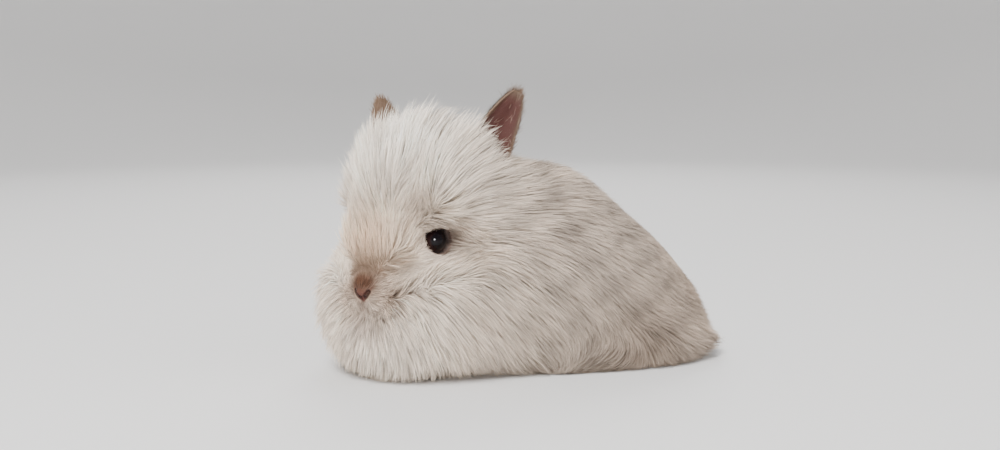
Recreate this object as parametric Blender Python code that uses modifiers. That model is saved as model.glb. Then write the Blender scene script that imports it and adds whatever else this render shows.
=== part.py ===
"""Teddy dwarf rabbit kit, crouching with its head turned to the left, at life size.

The body is a set of soft masses. One set gives the skin and one the tips of the coat,
and every depth of the coat between the two is a blend of them. The solids have a core
half way up the coat, and long flat locks that rise from it to the tips along the lie.
Lengths are in millimetres and become metres as each mesh is made.
"""
import math

import bmesh
import bpy
import numpy as np
from mathutils import Matrix, Vector
from mathutils.bvhtree import BVHTree

MM = 0.001
GAP = 0.3
WELD = 0.002
SEED = 9

# Head frame: forward along the muzzle, left, up. Body frame: +X to the rump, +Y right.
HEAD_AT = np.array([-60.0, -14.0, 64.0])
FACE_YAW = math.radians(41.5)
FORWARD = np.array([-math.cos(FACE_YAW), -math.sin(FACE_YAW), 0.0])
LEFT = np.array([math.sin(FACE_YAW), -math.cos(FACE_YAW), 0.0])
HEAD_AXES = np.stack([FORWARD, LEFT, [0.0, 0.0, 1.0]])

EYE_RADIUS = 6.4
EYE_AT = (1.0, 15.6, 0.0)
EYE_OUT = (0.45, 0.89, 0.06)
LID_TUBE = 1.5
LID_RING = 6.3
LID_FORWARD = 2.2
NOSE_AT = (30.5, 0.0, -19.5)
NOSE_RADII = (3.6, 4.4, 3.4)
NOSTRIL_AT = (33.5, 1.9, -19.2)
NOSTRIL = (1.0, 0.9, 2.0)
NOSTRIL_ROLL = 0.6
LIP_GROOVE = ((30.0, 0.0, -25.0), (3.2, 0.5, 4.2))
UPPER_LIP = ((27.0, 4.2, -24.8), (5.6, 5.0, 4.6))
LOWER_LIP = ((24.0, 0.0, -31.0), (5.6, 5.0, 3.4))
MOUTH_WIDTH = 1.4
MOUTH_CENTRE = (16.0, 0.0, -28.3)
MOUTH_ROUND = 15.5
MOUTH_SQUEEZE = 0.8

EAR_LENGTH_STEPS = 9
EAR_ROUND_STEPS = 7
EAR_BASE = (-22.0, 11.0, 17.0)
EAR_TIPS = {"left": (-37.0, 39.0, 66.0), "right": (-37.0, 37.5, 62.0)}
EAR_HALF_WIDTH = 10.5
EAR_CUP_DEPTH = 6.5
EAR_WALL = 1.4

CORE = 0.5
FLOOR_CLEAR = 1.5

# Locks: sizes follow the depth of the coat between the core and the tips
LOCK_STATIONS = 3
LOCK_LENGTH = (1.6, 14.0)
LOCK_LENGTH_RANGE = (14.0, 42.0)
LOCK_WIDTH = {"head": 0.33, "neck": 0.44, "tail": 0.42}
BODY_LOCK_WIDTH = 0.58
LOCK_LEAST_WIDTH = 7.0
LOCK_FLATNESS = 0.17
LOCK_LEAST_THICKNESS = 1.5
LOCK_PROFILE = (0.75, 1.0, 0.62)
LOCK_SPACING = 1.07
LOCK_SINK = 3.0
LOCK_SWAY = math.radians(16)
LOCK_CUTS = (1.0, 0.8, 0.62, 0.46)
EYE_BARE = 11.0
NOSE_BARE = 14.0
BELLY_BARE = 7.0
BELLY_HEIGHT = 2.5
HEAD_VOXEL = 6.2
TRUNK_VOXEL = 11.0
LEG_VOXEL = 5.6
TAIL_VOXEL = 5.0
ROOT_VOXEL = 4.0
EAR_CLEAR = 0.8
SIDES = (("left", 1), ("right", -1))


def both_sides(masses):
    """Adds the mirror image of every mass that is off the middle plane."""
    out = []
    for centre, radii, tilt in masses:
        out.append((centre, radii, tilt))
        if centre[1]:
            out.append(((centre[0], -centre[1], centre[2]), radii, tilt))
    return out


# Masses: centre, radii, tilt in degrees with the front end going down
HEAD_SKIN = both_sides([
    ((-14, 0, 3), (25, 18.5, 20), 0),
    ((3, 0, -1), (20, 15.5, 17), 20),
    ((15, 0, -14), (17, 10.5, 11.5), 25),
    ((22, 5.2, -21.5), (8.5, 6.2, 7), 0),
    ((-4, 10, -15), (17, 10, 14), 0),
    ((12, 0, -28.5), (9, 7, 5.5), 0),
])
HEAD_COAT = both_sides([
    ((-12, 0, 20), (33, 34, 37), 0),
    ((-20, 10, 30), (22, 29, 28), 0),
    ((-4, 15, 17), (19, 19, 23), 0),
    ((9, 0, 12), (18, 23, 33), 12),
    ((-3, 22, -23), (28, 24, 27), 0),
    ((13, 0, -16), (20, 17, 16), 20),
    ((7, 0, -32), (20, 20, 15), 0),
    ((-28, 0, -4), (28, 36, 36), 0),
])
EYE_POCKET = ((8, 38, -0.5), (12.5, 24, 9.5), 0)
NOSE_POCKET = ((41, 0, -23), (12, 12, 12), 0)
BODY_SKIN = both_sides([
    ((-16, 0, 44), (44, 28, 34), 0),
    ((16, 0, 44), (40, 31, 38), 0),
    ((42, 0, 32), (38, 30, 34), 0),
    ((46, 20, 28), (32, 17, 27), 0),
    ((-46, 3, 36), (24, 20, 27), 0),
])
BODY_COAT = both_sides([
    ((-20, 0, 46), (52, 42, 48), 0),
    ((8, 0, 46), (48, 46, 50), 0),
    ((40, 0, 27), (43, 45, 42), 0),
    ((70, 22, 8.5), (27, 21, 9.5), 0),
    ((-52, 8, 32), (30, 34, 34), 0),
])
TAIL_SKIN = [((78, 0, 16), (13, 9, 9), 0)]
TAIL_COAT = [((86, 0, 11.5), (19, 17, 12.5), 0)]
FORELEG = [
    ((-44, 15, 26), (11, 9, 18), 0),
    ((-52, 15, 12), (10, 7, 11), 0),
    ((-60, 16, 5), (11, 7, 6.5), 0),
]
HINDFOOT = [
    ((40, 32, 9), (24, 9, 9), 0),
    ((22, 33, 4.5), (18, 7.5, 6), 0),
]
HAUNCH = ((48, 44, 26), (35, 27, 35))
TAIL_ROOM = ((100, 0, 15), (34, 21, 19))

# The seams behind the head are turned domes about the neck's axis, open to the rear
NECK_AXIS = np.array([0.72, 0.42, -0.55]) / np.linalg.norm([0.72, 0.42, -0.55])
NECK_START = -10.0
NECK_LENGTH = 13.0
NECK_NOSE = 22.0
NECK_SLOPE = 0.38

# Lie of the coat: place and direction, in the head frame and in the body frame
HEAD_LIE = [
    ((30, 0, -12), (-0.3, 0, 1)),
    ((26, 0, 5), (-0.1, 0, 1)),
    ((20, 10, 28), (-0.15, 0.12, 1)),
    ((2, 0, 56), (-0.6, 0, 0.8)),
    ((-30, 0, 52), (-1, 0, 0.1)),
    ((16, 18, 12), (-0.2, 0.3, 1)),
    ((-4, 28, 18), (-0.75, 0.25, 0.6)),
    ((-22, 28, 38), (-0.6, 0.4, 0.7)),
    ((-14, 36, 0), (-1, 0.1, 0.1)),
    ((10, 26, -16), (-0.8, 0.55, -0.2)),
    ((0, 38, -28), (-0.8, 0.2, -0.5)),
    ((25, 12, -22), (-0.6, 0.8, -0.1)),
    ((24, 0, -34), (-0.5, 0, -0.9)),
    ((10, 20, -42), (-0.5, 0.3, -0.8)),
    ((-44, 0, 32), (-0.8, 0, -0.6)),
    ((-44, 30, 0), (-0.9, 0.1, -0.4)),
]
BODY_LIE = [
    ((0, 0, 96), (1, 0, -0.15)),
    ((30, 0, 86), (0.9, 0, -0.4)),
    ((70, 0, 60), (0.7, 0, -0.75)),
    ((98, 0, 25), (0.85, 0, -0.55)),
    ((92, 12, 10), (0.9, 0.3, -0.3)),
    ((-30, 44, 50), (0.35, 0.1, -0.95)),
    ((10, 48, 50), (0.75, 0.1, -0.65)),
    ((52, 44, 35), (0.75, 0.1, -0.65)),
    ((0, 42, 14), (0.6, 0.4, -0.7)),
    ((-80, 10, 35), (-0.1, 0, -1)),
    ((-62, 34, 22), (0.1, 0.3, -0.95)),
    ((-10, 30, 82), (0.85, 0.15, -0.5)),
]
LIE_REACH = 15.0

# Colours: linear red, green, blue, and roughness
COAT_CREAM = ((0.68, 0.60, 0.51), 0.85)
COAT_BEIGE = ((0.52, 0.45, 0.39), 0.85)
COAT_TAN = ((0.42, 0.32, 0.24), 0.85)
EAR_SKIN = ((0.44, 0.27, 0.23), 0.7)
EYE_DARK = ((0.012, 0.008, 0.009), 0.08)


def to_head(p):
    return (p - HEAD_AT) @ HEAD_AXES.T


def from_head(q):
    return np.asarray(q, float) @ HEAD_AXES + HEAD_AT


def mirrored(point, side):
    """A head or body point given for the left side of the head frame."""
    return (point[0], point[1] * side, point[2])


def ellipsoid(p, mass):
    """Distance, nearly, from points to one tilted ellipsoid."""
    centre, radii, tilt = mass
    q = p - np.array(centre, float)
    if tilt:
        c, s = math.cos(math.radians(tilt)), math.sin(math.radians(tilt))
        q = np.stack([c * q[:, 0] - s * q[:, 2], q[:, 1], s * q[:, 0] + c * q[:, 2]], 1)
    r = np.array(radii, float)
    near = np.linalg.norm(q / r, axis=1)
    steep = np.linalg.norm(q / r ** 2, axis=1) + 1e-9
    return near * (near - 1) / steep


def soft_min(a, b, k):
    h = np.maximum(k - np.abs(a - b), 0) / k
    return np.minimum(a, b) - h * h * k / 4


def blend(p, masses, k):
    d = ellipsoid(p, masses[0])
    for mass in masses[1:]:
        d = soft_min(d, ellipsoid(p, mass), k)
    return d


def hollowed(d, p, mass, k):
    """The field d with one mass pressed out of it."""
    return -soft_min(-d, ellipsoid(p, mass), k)


def skin(p):
    """Head and body together, without their coat."""
    return soft_min(blend(to_head(p), HEAD_SKIN, 7.0), blend(p, BODY_SKIN, 12.0), 8.0)


def coat(p):
    """The tips of the coat, which leave the eyes and the nose bare."""
    q = to_head(p)
    d = soft_min(blend(q, HEAD_COAT, 10.0), blend(p, BODY_COAT, 16.0), 8.0)
    for side in (1, -1):
        d = hollowed(d, q, (mirrored(EYE_POCKET[0], side),) + EYE_POCKET[1:], 5.0)
    return hollowed(d, q, NOSE_POCKET, 6.0)


def layer(p, t):
    """The coat at one depth t, from 0 at the skin to 1 at the tips."""
    return (1 - t) * skin(p) + t * coat(p)


def tail_layer(p, t):
    return (1 - t) * blend(p, TAIL_SKIN, 6.0) + t * blend(p, TAIL_COAT, 6.0)


def slope(field, p):
    """Gradient of a field at points."""
    e = 0.4
    axes = np.eye(3) * e
    return np.stack([field(p + a) - field(p - a) for a in axes], 1) / (2 * e)


def draw_onto(field, p, guide=None, rounds=16):
    """Moves points to where the field is zero, along the slope of a smoother guide field."""
    for _ in range(rounds):
        way = slope(guide or field, p)
        way /= np.linalg.norm(way, axis=1, keepdims=True) + 1e-6
        p = p - 0.8 * np.clip(field(p), -4, 4)[:, None] * way
    return p


def unit(v):
    return v / (np.linalg.norm(v, axis=-1, keepdims=True) + 1e-9)


def lie_table():
    """Places and directions of the lie on both sides, in the body frame."""
    places, ways = [], []
    for place, way in HEAD_LIE:
        for side in ((1, -1) if place[1] else (1,)):
            places.append(from_head(mirrored(place, side)))
            ways.append(np.array(mirrored(way, side)) @ HEAD_AXES)
    for place, way in BODY_LIE:
        for side in ((1, -1) if place[1] else (1,)):
            places.append(np.array(mirrored(place, side), float))
            ways.append(np.array(mirrored(way, side), float))
    return np.array(places), unit(np.array(ways))


LIE_PLACES, LIE_WAYS = lie_table()


def lie(p):
    """Direction in which the coat runs at points, not yet laid on the surface."""
    d2 = np.sum((p[:, None] - LIE_PLACES[None]) ** 2, 2)
    nearest = np.min(d2, 1, keepdims=True)
    w = np.exp(-(d2 - nearest) / (2 * LIE_REACH ** 2))
    return unit(w @ LIE_WAYS)


def seam_depth(p, start):
    """How far points lie behind a seam of the neck."""
    q = p - HEAD_AT
    along = q @ NECK_AXIS
    out = np.sqrt(np.maximum(np.sum(q * q, 1) - along ** 2, 0))
    return along - (start + np.sqrt(NECK_NOSE ** 2 + (NECK_SLOPE * out) ** 2))


def haunch_depth(p, sign):
    """How far points lie outside one haunch's room."""
    return ellipsoid(p, (mirrored(HAUNCH[0], -sign), HAUNCH[1], 0))


def region(node):
    """Fields that are all positive inside the room of one node's locks."""
    head_seam = lambda p: seam_depth(p, NECK_START)
    torso_seam = lambda p: seam_depth(p, NECK_START + NECK_LENGTH)
    tail_room = lambda p: ellipsoid(p, (*TAIL_ROOM, 0))
    haunches = {"hindleg_" + side: sign for side, sign in SIDES}
    if node == "head":
        return [lambda p: -head_seam(p)]
    if node == "neck":
        return [head_seam, lambda p: -torso_seam(p)]
    if node in haunches:
        return [lambda p: -haunch_depth(p, haunches[node])]
    if node == "tail":
        return [lambda p: -tail_room(p)]
    outside = [lambda p, sign=sign: haunch_depth(p, sign) for sign in haunches.values()]
    return [torso_seam, tail_room] + outside


# Mesh helpers

def add_object(name, mesh, collection):
    obj = bpy.data.objects.new(name, mesh)
    collection.objects.link(obj)
    return obj


def mesh_from(bm, name):
    mesh = bpy.data.meshes.new(name)
    bmesh.ops.triangulate(bm, faces=bm.faces)
    bmesh.ops.recalc_face_normals(bm, faces=bm.faces)
    bm.to_mesh(mesh)
    bm.free()
    return mesh


def points_of(obj):
    flat = np.empty(len(obj.data.vertices) * 3)
    obj.data.vertices.foreach_get("co", flat)
    return flat.reshape(-1, 3) / MM


def move_points(obj, points):
    obj.data.vertices.foreach_set("co", (points * MM).ravel())
    obj.data.update()


def bake_modifiers(obj, weld=True):
    """Gives the object the mesh that its modifiers make, in clean triangles."""
    bpy.context.view_layer.update()
    graph = bpy.context.evaluated_depsgraph_get()
    mesh = bpy.data.meshes.new_from_object(obj.evaluated_get(graph))
    obj.modifiers.clear()
    obj.data = mesh
    bm = bmesh.new()
    bm.from_mesh(mesh)
    if weld:
        bmesh.ops.remove_doubles(bm, verts=bm.verts, dist=WELD * MM)
        bmesh.ops.dissolve_degenerate(bm, edges=bm.edges, dist=WELD * MM)
    bmesh.ops.triangulate(bm, faces=bm.faces)
    bm.to_mesh(mesh)
    bm.free()


def mass_matrix(centre, radii, tilt, in_head):
    turn = Matrix.Rotation(math.radians(tilt), 4, "Y")
    shape = Matrix.Translation(Vector(centre)) @ turn @ Matrix.Diagonal((*radii, 1))
    if not in_head:
        return Matrix.Scale(MM, 4) @ shape
    frame = Matrix(HEAD_AXES.T.tolist()).to_4x4()
    return Matrix.Scale(MM, 4) @ Matrix.Translation(Vector(HEAD_AT)) @ frame @ shape


def soft_solid(name, groups, field, voxel, collection, lowest, guide=None):
    """Fuses masses into one closed mesh and draws it onto a field, above a lowest level."""
    bm = bmesh.new()
    for masses, in_head in groups:
        for centre, radii, tilt in masses:
            matrix = mass_matrix(centre, radii, tilt, in_head)
            bmesh.ops.create_icosphere(bm, subdivisions=3, radius=1, matrix=matrix)
    obj = add_object(name, mesh_from(bm, name), collection)
    remesh = obj.modifiers.new("fuse", "REMESH")
    remesh.mode = "VOXEL"
    remesh.voxel_size = voxel * MM
    bake_modifiers(obj)
    points = draw_onto(field, points_of(obj), guide)
    points[:, 2] = np.maximum(points[:, 2], lowest)
    move_points(obj, points)
    bm = bmesh.new()
    bm.from_mesh(obj.data)
    obj.data = mesh_from(bm, name)
    return obj


def grown_copy(obj, amount, collection, name):
    """A copy whose faces stand a little further out."""
    bm = bmesh.new()
    bm.from_mesh(obj.data)
    bm.normal_update()
    moves = [(v, v.normal.copy()) for v in bm.verts]
    for v, normal in moves:
        v.co += normal * amount * MM
    return add_object(name, mesh_from(bm, name), collection)


def combine(obj, others, operation):
    """One Boolean of an object with a collection of others, applied.

    The exact solver leaves open edges where many small pieces meet, so this is Manifold.
    """
    group = bpy.data.collections.new("operands")
    bpy.context.scene.collection.children.link(group)
    for other in others:
        for home in list(other.users_collection):
            home.objects.unlink(other)
        group.objects.link(other)
    step = obj.modifiers.new(operation.lower(), "BOOLEAN")
    step.operand_type = "COLLECTION"
    step.collection = group
    step.operation = operation
    step.solver = "MANIFOLD"
    bake_modifiers(obj, weld=False)
    for other in others:
        bpy.data.objects.remove(other)
    bpy.data.collections.remove(group)


def trim(obj, cutters, operation="DIFFERENCE"):
    """Cuts an object by each cutter in turn. The cutters stay."""
    for cutter in cutters:
        step = obj.modifiers.new("trim", "BOOLEAN")
        step.object = cutter
        step.operation = operation
        step.solver = "EXACT"
        bake_modifiers(obj)


def keep_largest(obj):
    """Keeps the largest closed surface of a mesh."""
    bm = bmesh.new()
    bm.from_mesh(obj.data)
    bmesh.ops.triangulate(bm, faces=bm.faces)
    unseen = set(bm.verts)
    islands = []
    while unseen:
        island = set()
        front = [unseen.pop()]
        while front:
            vert = front.pop()
            island.add(vert)
            for edge in vert.link_edges:
                other = edge.other_vert(vert)
                if other in unseen:
                    unseen.remove(other)
                    front.append(other)
        islands.append(island)
    islands.sort(key=len)
    loose = [vert for island in islands[:-1] for vert in island]
    bmesh.ops.delete(bm, geom=loose, context="VERTS")
    bmesh.ops.recalc_face_normals(bm, faces=bm.faces)
    bm.to_mesh(obj.data)
    bm.free()


def ball(name, centre, radii, collection, segments=12, rings=8, turn=None):
    bm = bmesh.new()
    matrix = Matrix.Translation(Vector(centre) * MM)
    if turn is not None:
        matrix = matrix @ turn
    matrix = matrix @ Matrix.Diagonal((*[r * MM for r in radii], 1))
    bmesh.ops.create_uvsphere(bm, u_segments=segments, v_segments=rings, radius=1, matrix=matrix)
    return add_object(name, mesh_from(bm, name), collection)


def neck_dome(name, start, collection):
    """The solid behind one seam of the neck, as a turned profile."""
    reach = 200.0
    steps = 6
    bm = bmesh.new()
    ring = [bm.verts.new((0, 0, reach * MM)), bm.verts.new((reach * MM, 0, reach * MM))]
    for i in range(steps, -1, -1):
        out = reach * (i / steps) ** 2
        along = start + math.sqrt(NECK_NOSE ** 2 + (NECK_SLOPE * out) ** 2)
        ring.append(bm.verts.new((out * MM, 0, along * MM)))
    for a, b in zip(ring, ring[1:]):
        bm.edges.new((a, b))
    mesh = bpy.data.meshes.new(name)
    bm.to_mesh(mesh)
    bm.free()
    obj = add_object(name, mesh, collection)
    screw = obj.modifiers.new("turn", "SCREW")
    screw.steps = screw.render_steps = 16
    screw.use_merge_vertices = True
    screw.merge_threshold = 0.00001
    bake_modifiers(obj)
    turn = Vector(NECK_AXIS).to_track_quat("Z", "Y").to_matrix().to_4x4()
    place = Matrix.Translation(Vector(HEAD_AT) * MM) @ turn
    bm = bmesh.new()
    bm.from_mesh(obj.data)
    bmesh.ops.transform(bm, matrix=place, verts=bm.verts)
    obj.data = mesh_from(bm, name)
    return obj


# Parts

def ear_point(side, u, v, grow=0.0):
    """A point of the ear's cup: u runs round it from -1 to 1, v from base to tip."""
    sign = 1 if side == "left" else -1
    base = from_head(mirrored(EAR_BASE, sign))
    tip = from_head(mirrored(EAR_TIPS[side], sign))
    axis = unit(tip - base)
    opening = np.array([0.45, 0.9 * sign, 0.0]) @ HEAD_AXES
    opening = unit(opening - (opening @ axis) * axis)
    across = np.cross(axis, opening)
    fullness = math.sin(math.pi * min(0.30 + 0.70 * v, 1.0)) ** 0.75
    half_width = EAR_HALF_WIDTH * fullness + grow
    depth = EAR_CUP_DEPTH * (1 - 0.7 * v) * min(1.0, 4 * (1.02 - v))
    reach = math.radians(150 - 65 * min(v * 1.6, 1.0))
    angle = u * reach
    centre = base + axis * v * np.linalg.norm(tip - base)
    return centre + across * half_width * math.sin(angle) - opening * depth * (math.cos(angle) - 0.4)


def make_ear(name, side, collection, grow=0.0):
    """A curved, open sheet from base to tip, then its thickness."""
    bm = bmesh.new()
    bmesh.ops.create_grid(bm, x_segments=EAR_ROUND_STEPS, y_segments=EAR_LENGTH_STEPS, size=1)
    for vert in bm.verts:
        u, v = vert.co.x, (vert.co.y + 1) / 2 * 0.985
        vert.co = Vector(ear_point(side, u, v, grow)) * MM
    mesh = bpy.data.meshes.new(name)
    bmesh.ops.triangulate(bm, faces=bm.faces)
    bm.to_mesh(mesh)
    bm.free()
    obj = add_object(name, mesh, collection)
    wall = obj.modifiers.new("wall", "SOLIDIFY")
    wall.thickness = (EAR_WALL + 2 * grow) * MM
    wall.offset = 0
    bake_modifiers(obj)
    bm = bmesh.new()
    bm.from_mesh(obj.data)
    obj.data = mesh_from(bm, obj.name)
    return obj


def make_leg(name, masses, side, collection):
    own = [(mirrored(centre, side), radii, tilt) for centre, radii, tilt in masses]
    return soft_solid(name, [(own, False)], lambda p: blend(p, own, 6.0), LEG_VOXEL, collection, 0.0)


def eye_centre(sign):
    return from_head(mirrored(EYE_AT, sign))


def make_lids(sign, guides):
    """A ring of skin round the eye, later hollowed by the eyeball's socket."""
    out = unit(np.array(mirrored(EYE_OUT, sign))) @ HEAD_AXES
    turn = Vector(out).to_track_quat("Z", "Y").to_matrix().to_4x4()
    centre = Vector(eye_centre(sign) + LID_FORWARD * out) * MM
    bpy.ops.mesh.primitive_torus_add(
        major_segments=20, minor_segments=6,
        major_radius=LID_RING * MM, minor_radius=LID_TUBE * MM)
    made = bpy.context.object
    mesh = made.data
    bpy.data.objects.remove(made)
    mesh.transform(Matrix.Translation(centre) @ turn)
    return add_object("lids", mesh, guides)


def head_turn(roll=0.0):
    """Rotation from the head frame to the body frame, after a roll about the muzzle."""
    frame = Matrix(HEAD_AXES.T.tolist()).to_4x4()
    return frame @ Matrix.Rotation(roll, 4, "X")


def make_nose(guides):
    return ball("nose", from_head(NOSE_AT), NOSE_RADII, guides, 14, 9, head_turn())


def make_lips(guides):
    """Two upper lips with their whisker pads, and the lower lip under them."""
    lips = []
    for sign in (1, -1):
        place = from_head(mirrored(UPPER_LIP[0], sign))
        lips.append(ball("lip", place, UPPER_LIP[1], guides, 12, 8, head_turn()))
    lips.append(ball("lip", from_head(LOWER_LIP[0]), LOWER_LIP[1], guides, 12, 8, head_turn()))
    return lips


def make_face_cuts(guides):
    """Nostrils, the groove under the nose and the line of the mouth."""
    cuts = []
    for sign in (1, -1):
        place = from_head(mirrored(NOSTRIL_AT, sign))
        cuts.append(ball("nostril", place, NOSTRIL, guides, 8, 6, head_turn(NOSTRIL_ROLL * sign)))
    cuts.append(ball("groove", from_head(LIP_GROOVE[0]), LIP_GROOVE[1], guides, 8, 8, head_turn()))
    mouth = from_head((MOUTH_CENTRE[0], 0.0, MOUTH_CENTRE[2]))
    bpy.ops.mesh.primitive_torus_add(
        major_segments=20, minor_segments=5,
        major_radius=MOUTH_ROUND * MM, minor_radius=MOUTH_WIDTH / 2 * MM)
    made = bpy.context.object
    mesh = made.data
    bpy.data.objects.remove(made)
    squeeze = Matrix.Diagonal((1.0, MOUTH_SQUEEZE, 1.0, 1.0))
    mesh.transform(Matrix.Translation(Vector(mouth) * MM) @ head_turn() @ squeeze)
    cuts.append(add_object("mouth", mesh, guides))
    return cuts


def core(p):
    return layer(p, CORE)


def tail_core(p):
    return tail_layer(p, CORE)


def trunk_solid(name, voxel, collection):
    groups = [(HEAD_COAT, True), (BODY_COAT, False)]
    return soft_solid(name, groups, core, voxel, collection, BELLY_HEIGHT, skin)


def paint(obj, look):
    """One Principled material, named for the part."""
    colour, roughness = look
    material = bpy.data.materials.new(obj.name)
    material.use_nodes = True
    shader = material.node_tree.nodes["Principled BSDF"]
    shader.inputs["Base Color"].default_value = (*colour, 1)
    shader.inputs["Roughness"].default_value = roughness
    material.diffuse_color = (*colour, 1)
    obj.data.materials.clear()
    obj.data.materials.append(material)


def stand_at_origin(collection):
    """Moves every part so that the origin is under the middle of the whole box."""
    points = np.vstack([points_of(obj) for obj in collection.objects])
    low, high = points.min(0), points.max(0)
    shift = np.array([(low[0] + high[0]) / 2, (low[1] + high[1]) / 2, low[2]])
    for obj in collection.objects:
        move_points(obj, points_of(obj) - shift)


def fresh_collections():
    for obj in list(bpy.data.objects):
        bpy.data.objects.remove(obj)
    rabbit = bpy.data.collections.new("teddy_dwarf_rabbit")
    guides = bpy.data.collections.new("guides")
    for collection in (rabbit, guides):
        bpy.context.scene.collection.children.link(collection)
    return rabbit, guides


def make_eyes(rabbit, guides):
    eyes, sockets = [], []
    for side, sign in SIDES:
        centre = eye_centre(sign)
        eyes.append(ball("eye_" + side, centre, (EYE_RADIUS,) * 3, rabbit))
        sockets.append(ball("socket", centre, (EYE_RADIUS + GAP,) * 3, guides))
    return eyes, sockets


def make_head(rabbit, guides, cutters):
    head = trunk_solid("head", HEAD_VOXEL, rabbit)
    bare = grown_copy(head, GAP, guides, "bare")
    trim(head, cutters)
    forms = [make_lids(sign, guides) for _, sign in SIDES]
    forms += [make_nose(guides)] + make_lips(guides)
    combine(head, forms, "UNION")
    combine(head, make_face_cuts(guides), "DIFFERENCE")
    keep_largest(head)
    return head, bare


def make_haunch_rooms(guides):
    """Closed rooms for the haunches, one to cut them out and one a gap larger."""
    rooms = {}
    for side, sign in SIDES:
        for label, grow in (("own", -GAP / 2), ("other", GAP / 2)):
            centre = mirrored(HAUNCH[0], -sign)
            radii = [r + grow for r in HAUNCH[1]]
            rooms[side, label] = ball("haunch_" + label, centre, radii, guides, 16, 10)
    return rooms


# Locks

def turned(way, axis, angle):
    """Vectors turned about unit axes."""
    c, s = np.cos(angle)[:, None], np.sin(angle)[:, None]
    return way * c + np.cross(axis, way) * s + axis * np.sum(axis * way, 1)[:, None] * (1 - c)


def scatter_roots(node, field, points, rooms, rng):
    """Picks roots at random, no closer together than their locks are wide."""
    depth = -tips_of(field)(points)
    length = np.clip(LOCK_LENGTH[0] * depth + LOCK_LENGTH[1], *LOCK_LENGTH_RANGE)
    width = np.maximum(LOCK_WIDTH.get(node, BODY_LOCK_WIDTH) * length, LOCK_LEAST_WIDTH)
    normal = unit(slope(field, points))
    good = (points[:, 2] > BELLY_BARE) & (normal[:, 2] > -0.6)
    for room in rooms:
        good &= room(points) > 1.5
    for _, sign in SIDES:
        good &= np.linalg.norm(points - eye_centre(sign), axis=1) > EYE_BARE
    good &= np.linalg.norm(points - from_head(NOSE_AT), axis=1) > NOSE_BARE
    chosen = []
    for i in rng.permutation(np.flatnonzero(good)):
        if all(np.linalg.norm(points[i] - points[j]) > LOCK_SPACING * width[i] for j in chosen):
            chosen.append(i)
    return points[chosen], length[chosen], width[chosen]


def tips_of(field):
    """The layer at the tips, for the trunk or for the tail."""
    return (lambda p: tail_layer(p, 1.0)) if field is tail_core else coat


def layer_of(field):
    return tail_layer if field is tail_core else layer


def comb(field, roots, length, width, rooms, sway):
    """Paths of the locks, which leave the core and rise to the tips of the coat."""
    at_depth = layer_of(field)
    normal = unit(slope(field, roots))
    p = roots
    stations, normals = [roots - LOCK_SINK * normal], [normal]
    for k in range(1, LOCK_STATIONS + 1):
        s = k / LOCK_STATIONS
        way = turned(lie(p), normal, sway * math.cos(2.2 * s))
        p = p + (length / LOCK_STATIONS)[:, None] * way
        level = lambda q, t=CORE + (1 - CORE) * s ** 0.8: at_depth(q, t)
        p = draw_onto(level, p, rounds=4)
        for room in rooms:
            short = np.maximum(1.0 + 0.3 * width * (1 - 0.7 * s) - room(p), 0)
            p = p + short[:, None] * unit(slope(room, p))
        p[:, 2] = np.maximum(p[:, 2], FLOOR_CLEAR + 0.1 * width * (1 - s))
        normal = unit(slope(level, p))
        stations.append(p)
        normals.append(normal)
    return np.stack(stations, 1), np.stack(normals, 1)


def lock_shape(path, normal, width, cut):
    """Corners and faces of one flat, tapered lock along the first part of its path."""
    steps = np.linspace(0, cut * LOCK_STATIONS, LOCK_STATIONS + 1)
    knots = np.arange(LOCK_STATIONS + 1)
    line = np.stack([np.interp(steps, knots, path[:, i]) for i in range(3)], 1)
    up = unit(np.stack([np.interp(steps, knots, normal[:, i]) for i in range(3)], 1))
    along = unit(np.gradient(line, axis=0))
    across = unit(np.cross(up, along))
    corners = []
    for k in range(LOCK_STATIONS):
        half = width / 2 * LOCK_PROFILE[k]
        thick = max(LOCK_LEAST_THICKNESS, width * LOCK_FLATNESS * LOCK_PROFILE[k]) / 2
        rise = np.cross(along[k], across[k])
        for side, lift in ((1, 0), (0, -1), (-1, 0), (0, 1)):
            corners.append(line[k] + side * half * across[k] + lift * thick * rise)
    corners.append(line[-1])
    faces = [(3, 2, 1), (3, 1, 0)]
    for k in range(LOCK_STATIONS - 1):
        for j in range(4):
            a, b = 4 * k + j, 4 * k + (j + 1) % 4
            faces += [(a, b, b + 4), (a, b + 4, a + 4)]
    top = 4 * (LOCK_STATIONS - 1)
    faces += [(top + j, top + (j + 1) % 4, top + 4) for j in range(4)]
    return np.array(corners), faces


def tree_of(obj):
    mesh = obj.data
    corners = [tuple(p) for p in points_of(obj)]
    return BVHTree.FromPolygons(corners, [tuple(face.vertices) for face in mesh.polygons])


def make_locks(node, field, points, walls, guides):
    """Locks of one node, each shortened or left out where it would meet a wall."""
    rng = np.random.default_rng(SEED + len(node))
    rooms = region(node)
    roots, length, width = scatter_roots(node, field, points, rooms, rng)
    length = length * rng.uniform(0.85, 1.12, len(roots))
    sway = LOCK_SWAY * rng.uniform(-1, 1, len(roots))
    paths, normals = comb(field, roots, length, width, rooms, sway)
    trees = [tree_of(wall) for wall in walls]
    locks = []
    for path, normal, wide in zip(paths, normals, width):
        for cut in LOCK_CUTS:
            corners, faces = lock_shape(path, normal, wide, cut)
            own = BVHTree.FromPolygons([tuple(c) for c in corners], faces)
            clear = corners[:, 2].min() > GAP and not any(own.overlap(tree) for tree in trees)
            if clear:
                mesh = bpy.data.meshes.new("lock")
                mesh.from_pydata([tuple(c * MM) for c in corners], [], faces)
                bm = bmesh.new()
                bm.from_mesh(mesh)
                locks.append(add_object("lock", mesh_from(bm, "lock"), guides))
                break
    return locks


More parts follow.
